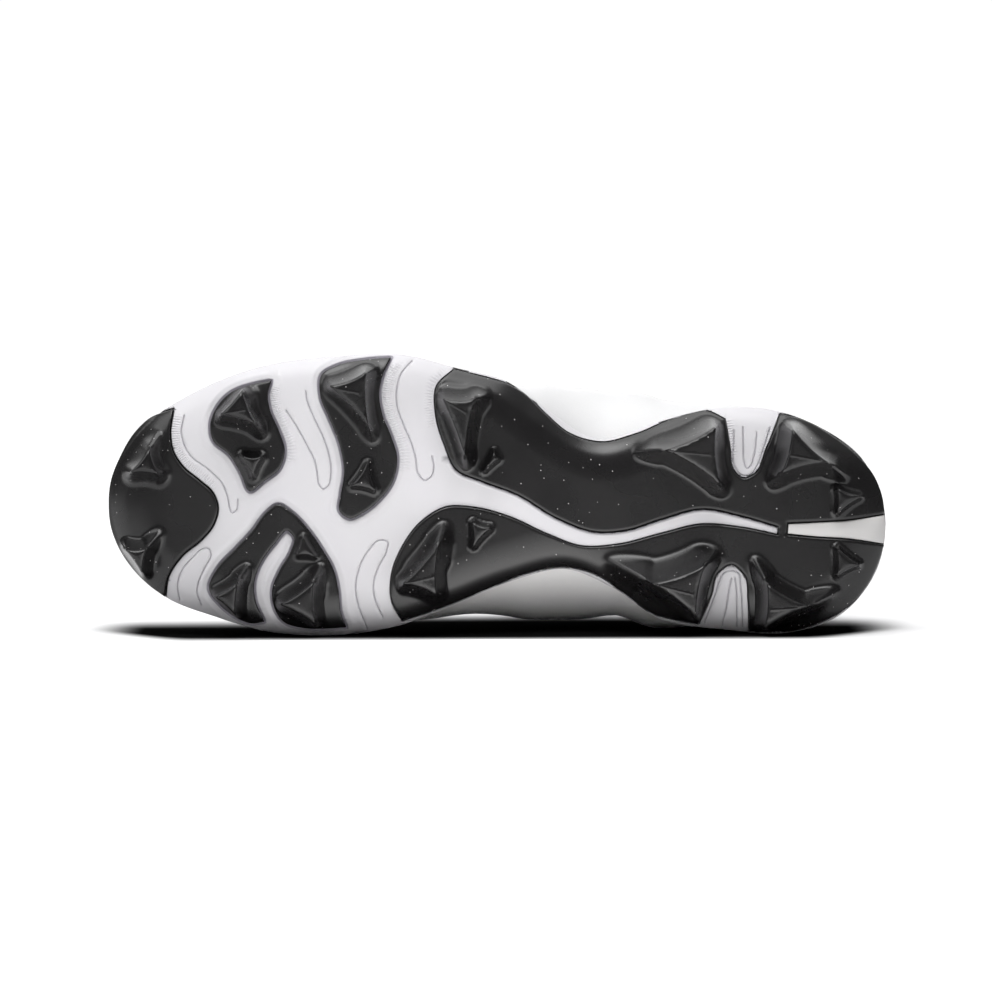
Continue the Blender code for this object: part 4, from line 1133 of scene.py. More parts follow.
@dataclass
class OutsoleBase(Piece):
    """White moulded base with grooves, lips around the pads, hatch ribs and a stepped side wall."""

    finish: Finish
    pads: tuple
    plates: tuple
    stripe: tuple = ((233.0, 5.4), (221.0, 2.0), (207.0, -0.5), (193.0, 3.0), (181.0, 6.8), (170.0, 7.4),
                     (157.0, 2.8), (143.0, -5.5), (130.0, -10.4), (122.0, -14.0), (119.2, -18.5))
    spacing: float = 1.25
    groove_depth: float = 0.4
    stand: float = 0.9
    lip_stand: float = 0.15
    joints: tuple = (0.6, 0.3, 0.3)
    stripe_wall: tuple = (0.75, 1.15)
    stripe_raise: float = 0.6
    ridge_raise: float = 0.4
    ridge_place: float = 2.6
    ridge_half: float = 0.6
    plate_step: tuple = (0.1, 0.5)
    lip_step: tuple = (0.1, 0.95)
    edge_clear: float = 2.1
    edge_rings: tuple = (0.5, 1.3)
    pad_band: tuple = (1.65, 2.0)
    pad_rings: tuple = (0.1, 0.6, 1.0, 1.4, 2.0, 2.6, 3.2)
    plate_band: tuple = (0.4, 0.75)
    plate_rings: tuple = (-0.2, 0.12, 0.5, 0.85)
    wall_band: tuple = (1.2, 1.6)
    wall_rings: tuple = (0.2, 0.8, 1.5, 2.2, 2.7)
    rim_clear: float = 0.4
    top_clear: float = 3.0
    groove_clear: float = 0.45
    groove_sides: tuple = (-0.4, 0.4)
    groove_ends: tuple = (0.5, 0.6)
    on_groove: float = 0.05
    far: float = 9.0
    rib_fades: tuple = (-0.3, 0.3, -0.5, 0.3)
    rib_ends: float = 2.0
    smooth: float = 50.0
    ribs: tuple = (
        RibBand(PLATE_TOE, (18.0, 39.0), (-34.0, -6.0), (0.4, 3.6)),
        RibBand(PLATE_OUTER_FRONT, (56.0, 71.0), (-43.5, -16.0), (1.1, 4.0)),
        RibBand(PLATE_OUTER_REAR, (94.5, 109.0), (-52.0, -13.0), (1.1, 4.6)),
        RibBand(PLATE_REAR, (104.0, 118.0), (-53.0, -28.0), (1.0, 3.4)),
        RibBand(PLATE_REAR, (214.0, 233.0), (-35.0, -17.0), (0.5, 2.4)),
    )
    side_steps: tuple = ((0.0, 0.08), (0.0, 0.46), (0.12, 0.51), (0.5, 0.55), (1.0, 0.58), (1.2, 0.63),
                         (1.2, 1.0))

    def build(self) -> Thing:
        """Model the base and dress it."""
        grooves = [smooth_line(spots, 0.9) for spots in GROOVES]
        pads = [edge_of(rows) for rows in self.pads]
        plates = [edge_of(rows) for rows in self.plates]
        wall = Path(smooth_line(self.stripe, 1.0), closed=False)
        grid = BASE_EDGE.inside(even_grid(BASE_EDGE.spots, self.spacing), self.edge_clear)
        rings = [BASE_EDGE.beside(inset, 1.0) for inset in self.edge_rings]
        for pad in pads:
            grid = outside_band(grid, pad.signed(grid), self.pad_band)
            rings += [pad.beside(-inset, 0.8) for inset in self.pad_rings]
        for plate in plates:
            grid = outside_band(grid, plate.signed(grid), self.plate_band)
            rings += [plate.beside(-inset, 0.7) for inset in self.plate_rings]
        grid = outside_band(grid, wall.distance(grid), self.wall_band)
        normals = Path(wall.spots).inward()
        for inset in self.wall_rings:
            for side in (normals * inset, -normals * inset):
                ring = (wall.spots + side)[2:-2]
                floor = np.interp(ring[:, 0], *wall.spots[::-1].T)
                rings.append(ring[ring[:, 1] > floor])
        inner = BASE_EDGE.inside(np.vstack([grid, *rings]), self.rim_clear)
        beside = []
        for line in grooves:
            inner = Path(line, closed=False).clear(inner, self.groove_clear)
            run = np.gradient(line, axis=0)
            run /= np.linalg.norm(run, axis=1)[:, None]
            beside += [line + np.column_stack([-run[:, 1], run[:, 0]]) * side for side in self.groove_sides]
        inside = [BASE_EDGE.inside(line, self.groove_ends[0]) for line in grooves]
        beside = BASE_EDGE.inside(np.vstack(beside), self.groove_ends[1])
        patch = plan_patch(BASE_EDGE.spots, np.vstack([inner, beside]), (), inside)
        values = self.marks(patch.points, grooves, pads, wall)
        spaced = [plate.signed(patch.points) for plate in plates]
        # Where the base is painted with near black shade beside the toe, rear and insert plates
        in_gap_shade = [apart < wide for apart, wide in zip(spaced, self.joints)]
        values["gap_shade"] = np.max(in_gap_shade, axis=0).astype(float)
        heights = underside(patch.points)
        heights += self.groove_depth * (values["shaded_groove"] < self.on_groove)
        around = smooth_step(*self.plate_step, np.min(spaced, axis=0))
        beside = np.min([pad.signed(patch.points) for pad in pads], axis=0)
        shaded_lip = self.lip_stand + (1.0 - self.lip_stand) * smooth_step(*self.lip_step, beside)
        shaded_lip = np.where(beside > 0.0, shaded_lip, 0.0)
        heights -= self.stand * np.minimum(around, shaded_lip)
        heights -= self.stripe_raise * values["wall"]
        heights -= self.ridge_raise * np.exp(-((values["shaded_lip"] - self.ridge_place) / self.ridge_half) ** 2)
        base = self.walled(patch, heights)
        for name, value in values.items():
            padded = np.full(len(base.data.vertices), self.far if name in ("shaded_groove", "shaded_lip") else 0.0)
            padded[:len(value)] = value
            keep_values(base, name, padded)
        turn_outwards(base, self.smooth)
        self.dress(base, self.finish)
        return self.report(base)

    def marks(self, points: Array, grooves: Sequence[Array], pads: Sequence[Path],
              wall: Path) -> dict[str, Array]:
        """Numbers at plan points that the finish reads.

        Args:
            points: Plan points of the underside.
            grooves: Lines of the grooves.
            pads: Outlines of the pads that have a lip.
            wall: Upper edge of the stripe's recess.

        Returns:
            Distances to the nearest groove and pad, share of the recess's wall, and length and share of
            the hatch ribs.
        """
        shaded_groove = np.min([Path(line, closed=False).distance(points) for line in grooves], axis=0)
        shaded_lip = np.min([np.clip(pad.signed(points), 0.0, None) for pad in pads], axis=0)
        apart = wall.distance(points)
        below = points[:, 1] > np.interp(points[:, 0], *wall.spots[::-1].T)
        shaded_recess = below * (1.0 - smooth_step(*self.stripe_wall, apart))
        run = np.zeros(len(points))
        closest = np.full(len(points), np.inf)
        ribbed = np.zeros(len(points))
        for band in self.ribs:
            apart, length = edge_of(band.rows).nearest(points)
            run = np.where(apart < closest, length, run)
            closest = np.minimum(apart, closest)
            near, far = band.apart
            mask = smooth_step(near + self.rib_fades[0], near + self.rib_fades[1], apart)
            mask *= 1.0 - smooth_step(far + self.rib_fades[2], far + self.rib_fades[3], apart)
            for axis, (low, high) in enumerate((band.along, band.across)):
                mask *= smooth_step(low, low + self.rib_ends, points[:, axis])
                mask *= 1.0 - smooth_step(high - self.rib_ends, high, points[:, axis])
            ribbed = np.maximum(ribbed, mask)
        return {"shaded_groove": shaded_groove, "shaded_lip": shaded_lip, "wall": shaded_recess, "run": run, "ribbed": ribbed}

    def walled(self, patch: Patch, heights: Array) -> Thing:
        """Base with its stepped side wall and its top, from the patch of its underside."""
        vertices = [np.column_stack([patch.points, heights])]
        faces = list(patch.triangles)
        bottom = heights[patch.rim]
        wall = sole_height("top", BASE_EDGE.spots[:, 0]) - bottom
        normals = BASE_EDGE.inward()
        count = len(patch.rim)
        levels = [list(patch.rim)]
        start = len(patch.points)
        for inset, share in self.side_steps:
            vertices.append(np.column_stack([BASE_EDGE.spots + normals * inset, bottom + wall * share]))
            levels.append(list(range(start, start + count)))
            start += count
        for below, above in zip(levels, levels[1:]):
            faces += [(below[number], below[(number + 1) % count], above[(number + 1) % count],
                       above[number]) for number in range(count)]
        edge = BASE_EDGE.spots + normals * self.side_steps[-1][0]
        grid = even_grid(edge, 6.0)
        rim = Path(edge)
        top = plan_patch(edge, rim.inside(grid, self.top_clear))
        number_of = {number: levels[-1][place] for place, number in enumerate(top.rim)}
        for number in range(len(top.points)):
            if number not in number_of:
                number_of[number] = start
                start += 1
        free = [number for number in range(len(top.points)) if number not in set(top.rim)]
        vertices.append(np.column_stack([top.points[free], sole_height("top", top.points[free][:, 0])]))
        faces += [tuple(number_of[number] for number in face) for face in top.triangles]
        return shoe_object(self.name, np.vstack(vertices), faces)


def crest(along: float) -> tuple[float, float, float]:
    """Point of the instep's top line at a place along the shoe."""
    places = [row.along for row in CREST_LINE]
    across = curve_through(places, [row.across for row in CREST_LINE], along)
    height = curve_through(places, [row.height for row in CREST_LINE], along)
    return along, float(across), float(height)


def throat(at: float, lean: float, low_pull: float, along: float, drop: float, high_pull: float,
           edge: float) -> Section:
    """Section that runs up to the crest of the instep and is cut short at the throat."""
    return Section(at, lean, low_pull, *crest(along), drop, high_pull, edge, 1.0, 0.0)


def collar(at: float, lean: float, low_pull: float, along: float, across: float, height: float,
           drop: float, high_pull: float, padding: float) -> Section:
    """Section that runs up to the padded collar."""
    return Section(at, lean, low_pull, along, across, height, drop, high_pull, 1.0, 0.0, padding)


# Sections of the upper from the toe tip, down the outer side to the heel and back along the inner side
SECTIONS = (
    throat(0.0, 8, 22, 0.355 * LENGTH, 14, 48, 0.92),
    throat(2.0, 12, 20, 0.355 * LENGTH, 14, 42, 0.91),
    throat(4.0, 16, 17, 0.365 * LENGTH, 13, 27, 0.85),
    throat(6.0, 14, 21, 0.420 * LENGTH, 12, 25, 0.79),
    throat(8.0, 18, 26, 0.490 * LENGTH, 14, 25, 0.77),
    throat(9.0, 47, 38, 0.540 * LENGTH, 17, 28, 0.79),
    collar(10.2, 61, 49, 0.612 * LENGTH, -0.205 * BALL_WIDTH, 1.085 * HEEL, 54, 27, 1.5),
    collar(11.4, 42, 28, 0.700 * LENGTH, -0.285 * BALL_WIDTH, 0.95 * HEEL, 70, 20, 2.2),
    collar(12.6, 25, 19, 0.790 * LENGTH, -0.31 * BALL_WIDTH, 0.86 * HEEL, 80, 16, 2.5),
    collar(14.0, 22, 19, 0.880 * LENGTH, -0.23 * BALL_WIDTH, 0.94 * HEEL, 82, 20, 2.5),
    collar(16.0, 8, 22, 0.952 * LENGTH, 0.035 * BALL_WIDTH, 1.02 * HEEL, 84, 24, 2.0),
    collar(18.0, 8, 18, 0.893 * LENGTH, 0.27 * BALL_WIDTH, 0.94 * HEEL, 82, 20, 2.5),
    collar(20.0, 14, 20, 0.765 * LENGTH, 0.345 * BALL_WIDTH, 0.87 * HEEL, 80, 17, 2.5),
    collar(21.1, 26, 31, 0.698 * LENGTH, 0.31 * BALL_WIDTH, 0.96 * HEEL, 66, 25, 2.2),
    collar(22.3, 50, 35, 0.622 * LENGTH, 0.215 * BALL_WIDTH, 1.085 * HEEL, 55, 26, 1.5),
    throat(23.5, 52, 40, 0.540 * LENGTH, 17, 28, 0.79),
    throat(25.0, 22, 25, 0.475 * LENGTH, 14, 25, 0.77),
    throat(27.0, 12, 20, 0.395 * LENGTH, 12, 25, 0.79),
    throat(29.0, 14, 17, 0.360 * LENGTH, 15, 29, 0.87),
    throat(30.5, 12, 20, 0.355 * LENGTH, 14, 42, 0.91),
)
ROUND = len(BASE_OUTLINE)


def section_column(name: str, at: Array) -> Array:
    """Value of one column of the sections at places around the shoe."""
    places = [row.at + turn * ROUND for turn in (-1, 0, 1) for row in SECTIONS]
    values = [getattr(row, name) for _ in range(3) for row in SECTIONS]
    return curve_through(places, values, np.asarray(at, float) % ROUND)


def outward_at(at: Array, reach: float) -> Array:
    """Outward direction across the base's edge, taken over a reach of rows to either side."""
    at = np.asarray(at, float)
    run = BASE.at(at + reach) - BASE.at(at - reach)
    run /= np.linalg.norm(run, axis=1)[:, None]
    return np.stack([run[:, 1], -run[:, 0]], axis=1)


def last_points(at: Array, level: Array, covered: bool = True) -> Array:
    """Points of the outer face of the last.

    Args:
        at: Places around the shoe, in rows of the base's outline.
        level: Shares of the way up at those places.
        covered: Whether the way ends at the upper's edge or at the crest.

    Returns:
        One point for each place and level.
    """
    at = np.asarray(at, float)
    spots = BASE.at(at) - outward_at(at, 0.02) * WELT
    start = np.column_stack([spots, sole_height("top", spots[:, 0]) + GAP])
    lean = np.radians(section_column("lean", at))
    low = section_column("low_pull", at)
    outward = outward_at(at, SPREAD_ROWS) * (low * np.sin(lean))[:, None]
    first = start + np.column_stack([outward, low * np.cos(lean)])
    end = np.column_stack([section_column(name, at) for name in ("along", "across", "height")])
    toward = start[:, :2] - end[:, :2]
    toward /= np.linalg.norm(toward, axis=1)[:, None]
    drop = np.radians(section_column("drop", at))
    high = section_column("high_pull", at)
    second = end + np.column_stack([toward * (high * np.cos(drop))[:, None], -high * np.sin(drop)])
    reach = np.clip(section_column("edge", at), 0.0, 1.0) if covered else np.ones(len(at))
    part = (reach * np.asarray(level, float))[:, None]
    rest = 1.0 - part
    return rest ** 3 * start + 3 * rest ** 2 * part * first + 3 * rest * part ** 2 * second + part ** 3 * end


def last_directions(at: Array, level: Array) -> tuple[Array, Array]:
    """Outward and upward unit directions of the last's face at places and levels."""
    step = 0.02
    around = last_points(at + step, level) - last_points(at - step, level)
    upward = last_points(at, level + step) - last_points(at, level - step)
    normals = np.cross(around, upward)
    normals /= np.linalg.norm(normals, axis=-1)[:, None]
    upward /= np.linalg.norm(upward, axis=-1)[:, None]
    middle = np.array([0.5 * LENGTH, 0.0, 0.45 * INSTEP])
    if np.sum((last_points(at, level) - middle) * normals) < 0.0:
        normals = -normals
    return normals, upward


class Instep:
    """The whole last with its throat closed up to the crest, for what lies on or under the instep."""

    def __init__(self) -> None:
        """Lay a fine net over the last."""
        at, level = np.meshgrid(np.linspace(0.0, ROUND, 257), np.linspace(0.0, 1.0, 41), indexing="ij")
        grid = last_points(at.ravel(), level.ravel(), covered=False)
        faces = [(row * 41 + step, row * 41 + step + 1, (row + 1) * 41 + step + 1, (row + 1) * 41 + step)
                 for row in range(256) for step in range(40)]
        self.net = BVHTree.FromPolygons([Vector(point) for point in grid], faces)
        rise = crest(INSTEP_END)[2] - crest(INSTEP_END - 10.0)[2]
        self.slope = rise / 10.0

    def point(self, along: float, across: float, out: float) -> Vector:
        """Point at a distance outside the instep, whose crest is rounded over.

        Args:
            along: Place along the shoe.
            across: Place across it.
            out: Distance from the last.

        Returns:
            The point; past the top eyelets the instep goes on straight along it.
        """
        reach = min(along, INSTEP_END)
        spot = Vector()
        normal = Vector()
        for aside in (-CREST_ROUND, 0.0, CREST_ROUND):
            hit = None
            while hit is None:
                above = Vector((reach, across + aside, 2.0 * INSTEP))
                hit, facing, _, _ = self.net.ray_cast(above, Vector((0.0, 0.0, -1.0)))
                aside += 0.03
            spot += hit / 3.0
            normal += facing if facing.z > 0.0 else -facing
        beyond = along - reach
        return spot + normal.normalized() * out + Vector((beyond, 0.0, beyond * self.slope))


class Eyelet(NamedTuple):
    """Middle of an eyelet on the outer face of the eyestay, and the outward direction there."""

    spot: Array
    outward: Array


def eyelets(places: tuple[float, float]) -> list[Eyelet]:
    """Eyelets of one side from the toe up, between the first and last section of the row."""
    at = np.linspace(*places, 60)
    wanted = np.linspace(EYELETS_FROM, EYELETS_TO, EYELET_ROWS) * LENGTH
    rows = np.interp(wanted, section_column("along", at), at)
    level = np.full(len(rows), EYELET_PLACE)
    spots = last_points(rows, level)
    normals = last_directions(rows, level)[0]
    return [Eyelet(spot + normal * EYESTAY_RAISE, normal) for spot, normal in zip(spots, normals)]


def wrapped_grid(name: str, columns: int, rows: int,
                 place: Callable[[Array, Array], Array], seam: float = 0.0) -> Thing:
    """Wrap a flat grid into a form.

    Args:
        name: Name of the object.
        columns: Faces of the grid along its first side.
        rows: Faces of the grid along its second side.
        place: Gives shoe points for the shares along the first and second side.
        seam: Distance in millimetres below which points of the seams are merged; nought for no seam.

    Returns:
        The object, which keeps the grid's own map.
    """
    bpy.ops.object.select_all(action="DESELECT")
    bpy.ops.mesh.primitive_grid_add(x_subdivisions=columns, y_subdivisions=rows, size=1.0, calc_uvs=True)
    thing = bpy.context.object
    thing.name = name
    thing.data.name = name
    flat = np.empty(len(thing.data.vertices) * 3)
    thing.data.vertices.foreach_get("co", flat)
    shares = flat.reshape(-1, 3)[:, :2] + 0.5
    put_points(thing, place(shares[:, 0], shares[:, 1]))
    if seam:
        bpy.ops.object.mode_set(mode="EDIT")
        bpy.ops.mesh.select_all(action="SELECT")
        bpy.ops.mesh.remove_doubles(threshold=seam * MM)
        bpy.ops.object.mode_set(mode="OBJECT")
    return thing


@dataclass(frozen=True)
class SyntheticLeather(Finish):
    """White synthetic leather with a fine pebble grain, soft clouds and painted shade in the furrow of a
    stitched row.
    """

    shade: Colour = colour(0.53, 0.527, 0.535)
    shade_share: float = 0.5
    cloud: Cloud = Cloud(30.0, 4.0, 0.3, 0.8)
    # Painted light: paler colour on the lowest rows of the upper near the floor
    painted_light: Colour = colour(0.84, 0.832, 0.828)
    painted_light_rows: tuple = (0.2, 0.36)
    painted_light_height: tuple = (0.02, 0.04)
    # Painted shade: grey along the furrow of the stitched row
    shaded_furrow: Colour = colour(0.34, 0.335, 0.34)
    furrow_row: float = STITCHED_ROW / WALL_ROWS
    furrow_half: tuple = (0.003, 0.0075)
    furrow_shade_share: float = 0.6
    furrow_bump: float = 0.3
    pebble: float = 0.75
    pebble_bump: float = 0.05
    pebble_dull: tuple = (0.2, -0.08)
    grain: Grain = Grain(0.25, 0.015, 2.0)

    def vary(self, face: Surface) -> None:
        """Pebbles, gloss that follows them, a soft cloud, painted shade in the stitched furrow and painted
        light that makes the lowest rows paler near the floor.
        """
        pebble = face.cells(self.pebble, "Distance")
        fine = face.grained(self.grain, face.bump(pebble, self.pebble_bump))
        up = face.own_map().axis("Y")
        shaded_furrow = abs(up - self.furrow_row).fade(*self.furrow_half)
        painted_light = up.fade(*self.painted_light_rows) * face.place().axis("Z").fade(*self.painted_light_height)
        tinted = (face.clouds(self.cloud) * self.shade_share).mixed(self.tone, self.shade)
        # painted light on the lowest rows near the floor
        tinted = painted_light.mixed(tinted, self.painted_light)
        spread, change = self.pebble_dull
        face.link(Base_Color=(shaded_furrow * self.furrow_shade_share).mixed(tinted, self.shaded_furrow),
                  Roughness=pebble * spread + (self.roughness + change),
                  Normal=face.bump(1.0 - shaded_furrow, self.furrow_bump, fine))


@dataclass(frozen=True)
class KnitTextile(Finish):
    """Textile with a small woven or knitted pattern of loops."""

    loop: float = 1.1
    depth: float = 0.07
    loop_span: tuple = (0.15, 0.6)
    shade: Colour = colour(0.5, 0.5, 0.52)
    loop_shade: float = 0.45
    cloud: Cloud = Cloud(14.0, 2.0, 0.3, 0.8)
    cloud_shade: float = 0.2
    fuzz: tuple = (0.35, 3.0)
    fuzz_bump: float = 0.3
    gloss_spread: float = 0.1

    def vary(self, face: Surface) -> None:
        """Loops as bump and shade, with fuzz in the gloss."""
        near = face.cells(self.loop, "Distance").ramp(*self.loop_span)
        fuzz = face.noise(*self.fuzz)
        shade = near * self.loop_shade + face.clouds(self.cloud) * self.cloud_shade
        face.link(Base_Color=shade.mixed(self.tone, self.shade),
                  Roughness=self.around_roughness(fuzz, self.gloss_spread),
                  Normal=face.bump(1.0 - near + fuzz * self.fuzz_bump, self.depth))


@dataclass(frozen=True)
class WovenTape(Finish):
    """Flat woven lace with slanting yarns, on its own map of lengths."""

    shade: Colour = colour(0.6, 0.6, 0.62)
    shade_share: float = 0.7
    yarns: float = 5.0
    turns: float = 34.0
    depth: float = 0.14
    fuzz: tuple = (0.3, 2.0)
    fuzz_bump: float = 0.2
    gloss_spread: float = 0.1

    def vary(self, face: Surface) -> None:
        """Two crossing sets of yarns as bump and shade."""
        along = face.own_map().axis("X") * (self.turns * 2.0 * math.pi)
        across = face.own_map().axis("Y") * (self.yarns * 2.0 * math.pi)
        weave = (along + across).sine().most((along - across).sine()) * 0.5 + 0.5
        fuzz = face.noise(*self.fuzz)
        face.link(Base_Color=((1.0 - weave) * self.shade_share).mixed(self.tone, self.shade),
                  Roughness=self.around_roughness(fuzz, self.gloss_spread),
                  Normal=face.bump(weave + fuzz * self.fuzz_bump, self.depth))


@dataclass
class Upper(Piece):
    """Hollow upper: leather outside, a raised eyestay, a rolled padded collar and a lining inside."""

    leather: Finish
    lining: Finish
    smooth: float = 60.0
    columns: int = 336
    eyelet_radius: float = 2.2
    collar_bulge: float = 0.9
    waist_bulge: float = 4.7

    def build(self, holes: Sequence[Eyelet]) -> Thing:
        """Wrap the upper around the last, punch its eyelets and dress it.

        Args:
            holes: All eyelets of the shoe.

        Returns:
            The upper.
        """
        upper = wrapped_grid(self.name, self.columns, WALL_ROWS, self.wrap, SEAM)
        turn_outwards(upper, self.smooth)
        self.dress(upper, self.leather, self.lining)
        middle = (OUTSIDE_ROWS + 0.6 * ROLL_ROWS) / WALL_ROWS
        for face in upper.data.polygons:
            levels = [upper.data.uv_layers[0].data[corner].uv[1] for corner in face.loop_indices]
            face.material_index = int(sum(levels) / len(levels) > middle)
        self.punch(upper, holes)
        return self.report(upper)

    def wrap(self, around: Array, share: Array) -> Array:
        """Points of the closed wall: up the outside, over the edge, down the inside and back.

        Args:
            around: Shares of the way around the shoe.
            share: Shares of the way over the wall.

        Returns:
            Shoe points.
        """
        step = np.round(share * WALL_ROWS)
        step = np.where(step >= WALL_ROWS, 0, step)
        at = around * ROUND
        up = np.clip(step / OUTSIDE_ROWS, 0.0, 1.0)
        over = np.clip((step - OUTSIDE_ROWS) / ROLL_ROWS, 0.0, 1.0)
        down = np.clip((step - OUTSIDE_ROWS - ROLL_ROWS) / INSIDE_ROWS, 0.0, 1.0)
        level = np.where(step <= OUTSIDE_ROWS, up, 1.0 - down)
        skin = last_points(at, level)
        normal, rise = last_directions(at, level)
        stay = np.clip(section_column("eyestay", at), 0.0, 1.0)
        lift = stay * EYESTAY_RAISE * smooth_step(EYESTAY_STARTS - 0.008, EYESTAY_STARTS + 0.016, level)
        swell = np.clip((level - 0.5) / 0.35, 0.0, 1.0)
        depth = WALL + np.clip(section_column("padding", at), 0.0, None) * swell
        soft = 1.0 - smooth_step(0.1, 0.7, stay)
        bulge = np.sin(np.pi * np.clip((level - 0.80) / 0.24, 0.0, 1.0)) ** 1.2
        lift = lift + soft * self.collar_bulge * bulge
        lift = lift - soft * 0.45 * np.exp(-((level - 0.79) / 0.012) ** 2)
        waist = smooth_step(21.4, 23.2, at) * (1.0 - smooth_step(25.2, 26.6, at))
        waist = waist * np.sin(np.pi * np.clip(level / 0.9, 0.0, 1.0)) ** 2
        skin = skin + normal * (self.waist_bulge * waist)[:, None]
        half = (depth + lift) / 2
        angle = over * np.pi
        crown = half * np.where(soft > 0.5, 0.75, 0.5)
        out = np.where(step <= OUTSIDE_ROWS, lift, lift - half * (1.0 - np.cos(angle)))
        out = np.where(down > 0.0, -depth, out)
        up_shift = np.where((over > 0.0) & (down <= 0.0), crown * np.sin(angle), 0.0)
        up_shift = up_shift - crown * smooth_step(0.93, 1.0, level) * 0.5
        points = skin + normal * out[:, None] + rise * up_shift[:, None]
        floor = level < 1e-6
        points[floor, 2] = skin[floor, 2]
        return points

    def punch(self, upper: Thing, holes: Sequence[Eyelet]) -> None:
        """Cut the round eyelet holes with one cutter of joined rods."""
        bpy.ops.object.select_all(action="DESELECT")
        rods = []
        for hole in holes:
            turn = Vector((0.0, 0.0, 1.0)).rotation_difference(LYING.to_3x3() @ Vector(hole.outward))
            bpy.ops.mesh.primitive_cylinder_add(vertices=20, radius=self.eyelet_radius * MM, depth=9.0 * MM,
                                                location=LYING @ (Vector(hole.spot) * MM),
                                                rotation=turn.to_euler())
            rods.append(bpy.context.object)
        for rod in rods:
            rod.select_set(True)
        bpy.context.view_layer.objects.active = rods[0]
        bpy.ops.object.join()
        cutter = bpy.context.object
        bpy.ops.object.transform_apply(location=True, rotation=True, scale=True)
        select_only(upper)
        cut = upper.modifiers.new("eyelets", "BOOLEAN")
        cut.operation = "DIFFERENCE"
        cut.solver = "EXACT"
        cut.object = cutter
        bpy.ops.object.modifier_apply(modifier=cut.name)
        bpy.data.objects.remove(cutter)


@dataclass
class StitchRow:
    """Row of thread stitches around the eyestay and the collar, laid on the upper."""

    name: str
    slot: str
    finish: Finish
    smooth: float = 60.0
    pitch: float = 3.2
    length: float = 2.4
    thick: float = 0.75
    sink: float = 0.12

    def build(self, shell: Upper) -> Thing:
        """Model one stitch, lay a copy at every step along the row and join the copies.

        Args:
            shell: The upper that the row is sewn through.

        Returns:
            The joined stitches.
        """
        around = np.linspace(0.0, 1.0, 1601)
        line = shell.wrap(around, np.full(len(around), STITCHED_ROW / WALL_ROWS))
        run = np.append(0.0, np.cumsum(np.linalg.norm(np.diff(line, axis=0), axis=1)))
        steps = np.arange(round(run[-1] / self.pitch)) * run[-1] / round(run[-1] / self.pitch)
        at = np.interp(steps, run, around)
        spots = np.column_stack([np.interp(at, around, line[:, axis]) for axis in range(3)])
        ahead = np.roll(spots, -1, axis=0) - np.roll(spots, 1, axis=0)
        outward = last_directions(at * ROUND, np.full(len(at), STITCHED_ROW / OUTSIDE_ROWS))[0]
        bpy.ops.object.select_all(action="DESELECT")
        bpy.ops.mesh.primitive_uv_sphere_add(segments=8, ring_count=6, radius=0.5,
                                             rotation=(0.0, math.pi / 2, 0.0))
        first = bpy.context.object
        bpy.ops.object.transform_apply(location=True, rotation=True, scale=True)
        stitches = [first]
        for _ in spots[1:]:
            copy = first.copy()
            copy.data = first.data.copy()
            bpy.context.scene.collection.objects.link(copy)
            stitches.append(copy)
        for stitch, spot, forward, normal in zip(stitches, spots, ahead, outward):
            stitch.data.transform(self.placed(spot, forward, normal))
            stitch.select_set(True)
        bpy.context.view_layer.objects.active = first
        bpy.ops.object.join()
        row = bpy.context.object
        row.name = row.data.name = self.name
        turn_outwards(row, self.smooth)
        row.data.materials.append(self.finish.material())
        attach(row, BODY)
        log.info("%s: %d stitches", row.name, len(spots))
        return row

    def placed(self, spot: Array, forward: Array, normal: Array) -> Matrix:
        """Matrix that lays a ball of unit size as one stitch, from its shoe point and directions."""
        ahead = Vector(forward).normalized()
        out = (Vector(normal) - ahead * Vector(normal).dot(ahead)).normalized()
        turn = Matrix((ahead * self.length, out.cross(ahead) * self.thick, out * self.thick)).transposed()
        place = turn.to_4x4()
        place.translation = Vector(spot) + out * (self.thick / 2 - self.sink)
        return LYING @ Matrix.Scale(MM, 4) @ place


@dataclass
class Tongue(Piece):
    """Padded tongue with a thin bound edge, under the lace."""

    finish: Finish
    clear: float = 0.7
    thick: float = 4.0
    pillow: float = 1.7
    edge_reach: float = 7.0
    spacing: float = 1.5
    outline_step: float = 1.4
    rim: Rim = Rim(2.4, (0.4, 1.0, 1.8), 1.0)
    binding: float = 0.35
    binding_edge: tuple = (1.6, 2.2)
    thin_top: float = 1.0
    thin_low: float = 1.4
    smooth: float = 50.0

    def build(self, instep: Instep) -> Thing:
        """Model the tongue on the instep and dress it."""
        outline = edge_of(TONGUE_OUTLINE, self.outline_step)
        patch = rimmed_patch(outline, self.spacing, self.rim)
        edge = outline.distance(patch.points)
        inside = np.clip(edge / self.edge_reach, 0.0, 1.0)
        full = np.sqrt(1.0 - (1.0 - inside) ** 2)
        bound = self.binding * (1.0 - smooth_step(*self.binding_edge, edge))
        top = WALL + self.clear - self.pillow * full - bound + self.thin_top * (1.0 - full)
        low = WALL + self.clear + self.thick - self.thin_low * (1.0 - full)
        faces = list(patch.triangles)
        count = len(patch.points)
        layers = [[instep.point(*spot, -depth) for spot, depth in zip(patch.points, depths)]
                  for depths in (low, top)]
        faces += [tuple(count + number for number in face) for face in patch.triangles]
        size = len(patch.rim)
        faces += [(patch.rim[number], patch.rim[(number + 1) % size],
                   count + patch.rim[(number + 1) % size], count + patch.rim[number])
                  for number in range(size)]
        points = np.array([tuple(point) for layer in layers for point in layer])
        tongue = shoe_object(self.name, points, faces)
        turn_outwards(tongue, self.smooth)
        self.dress(tongue, self.finish)
        return self.report(tongue)


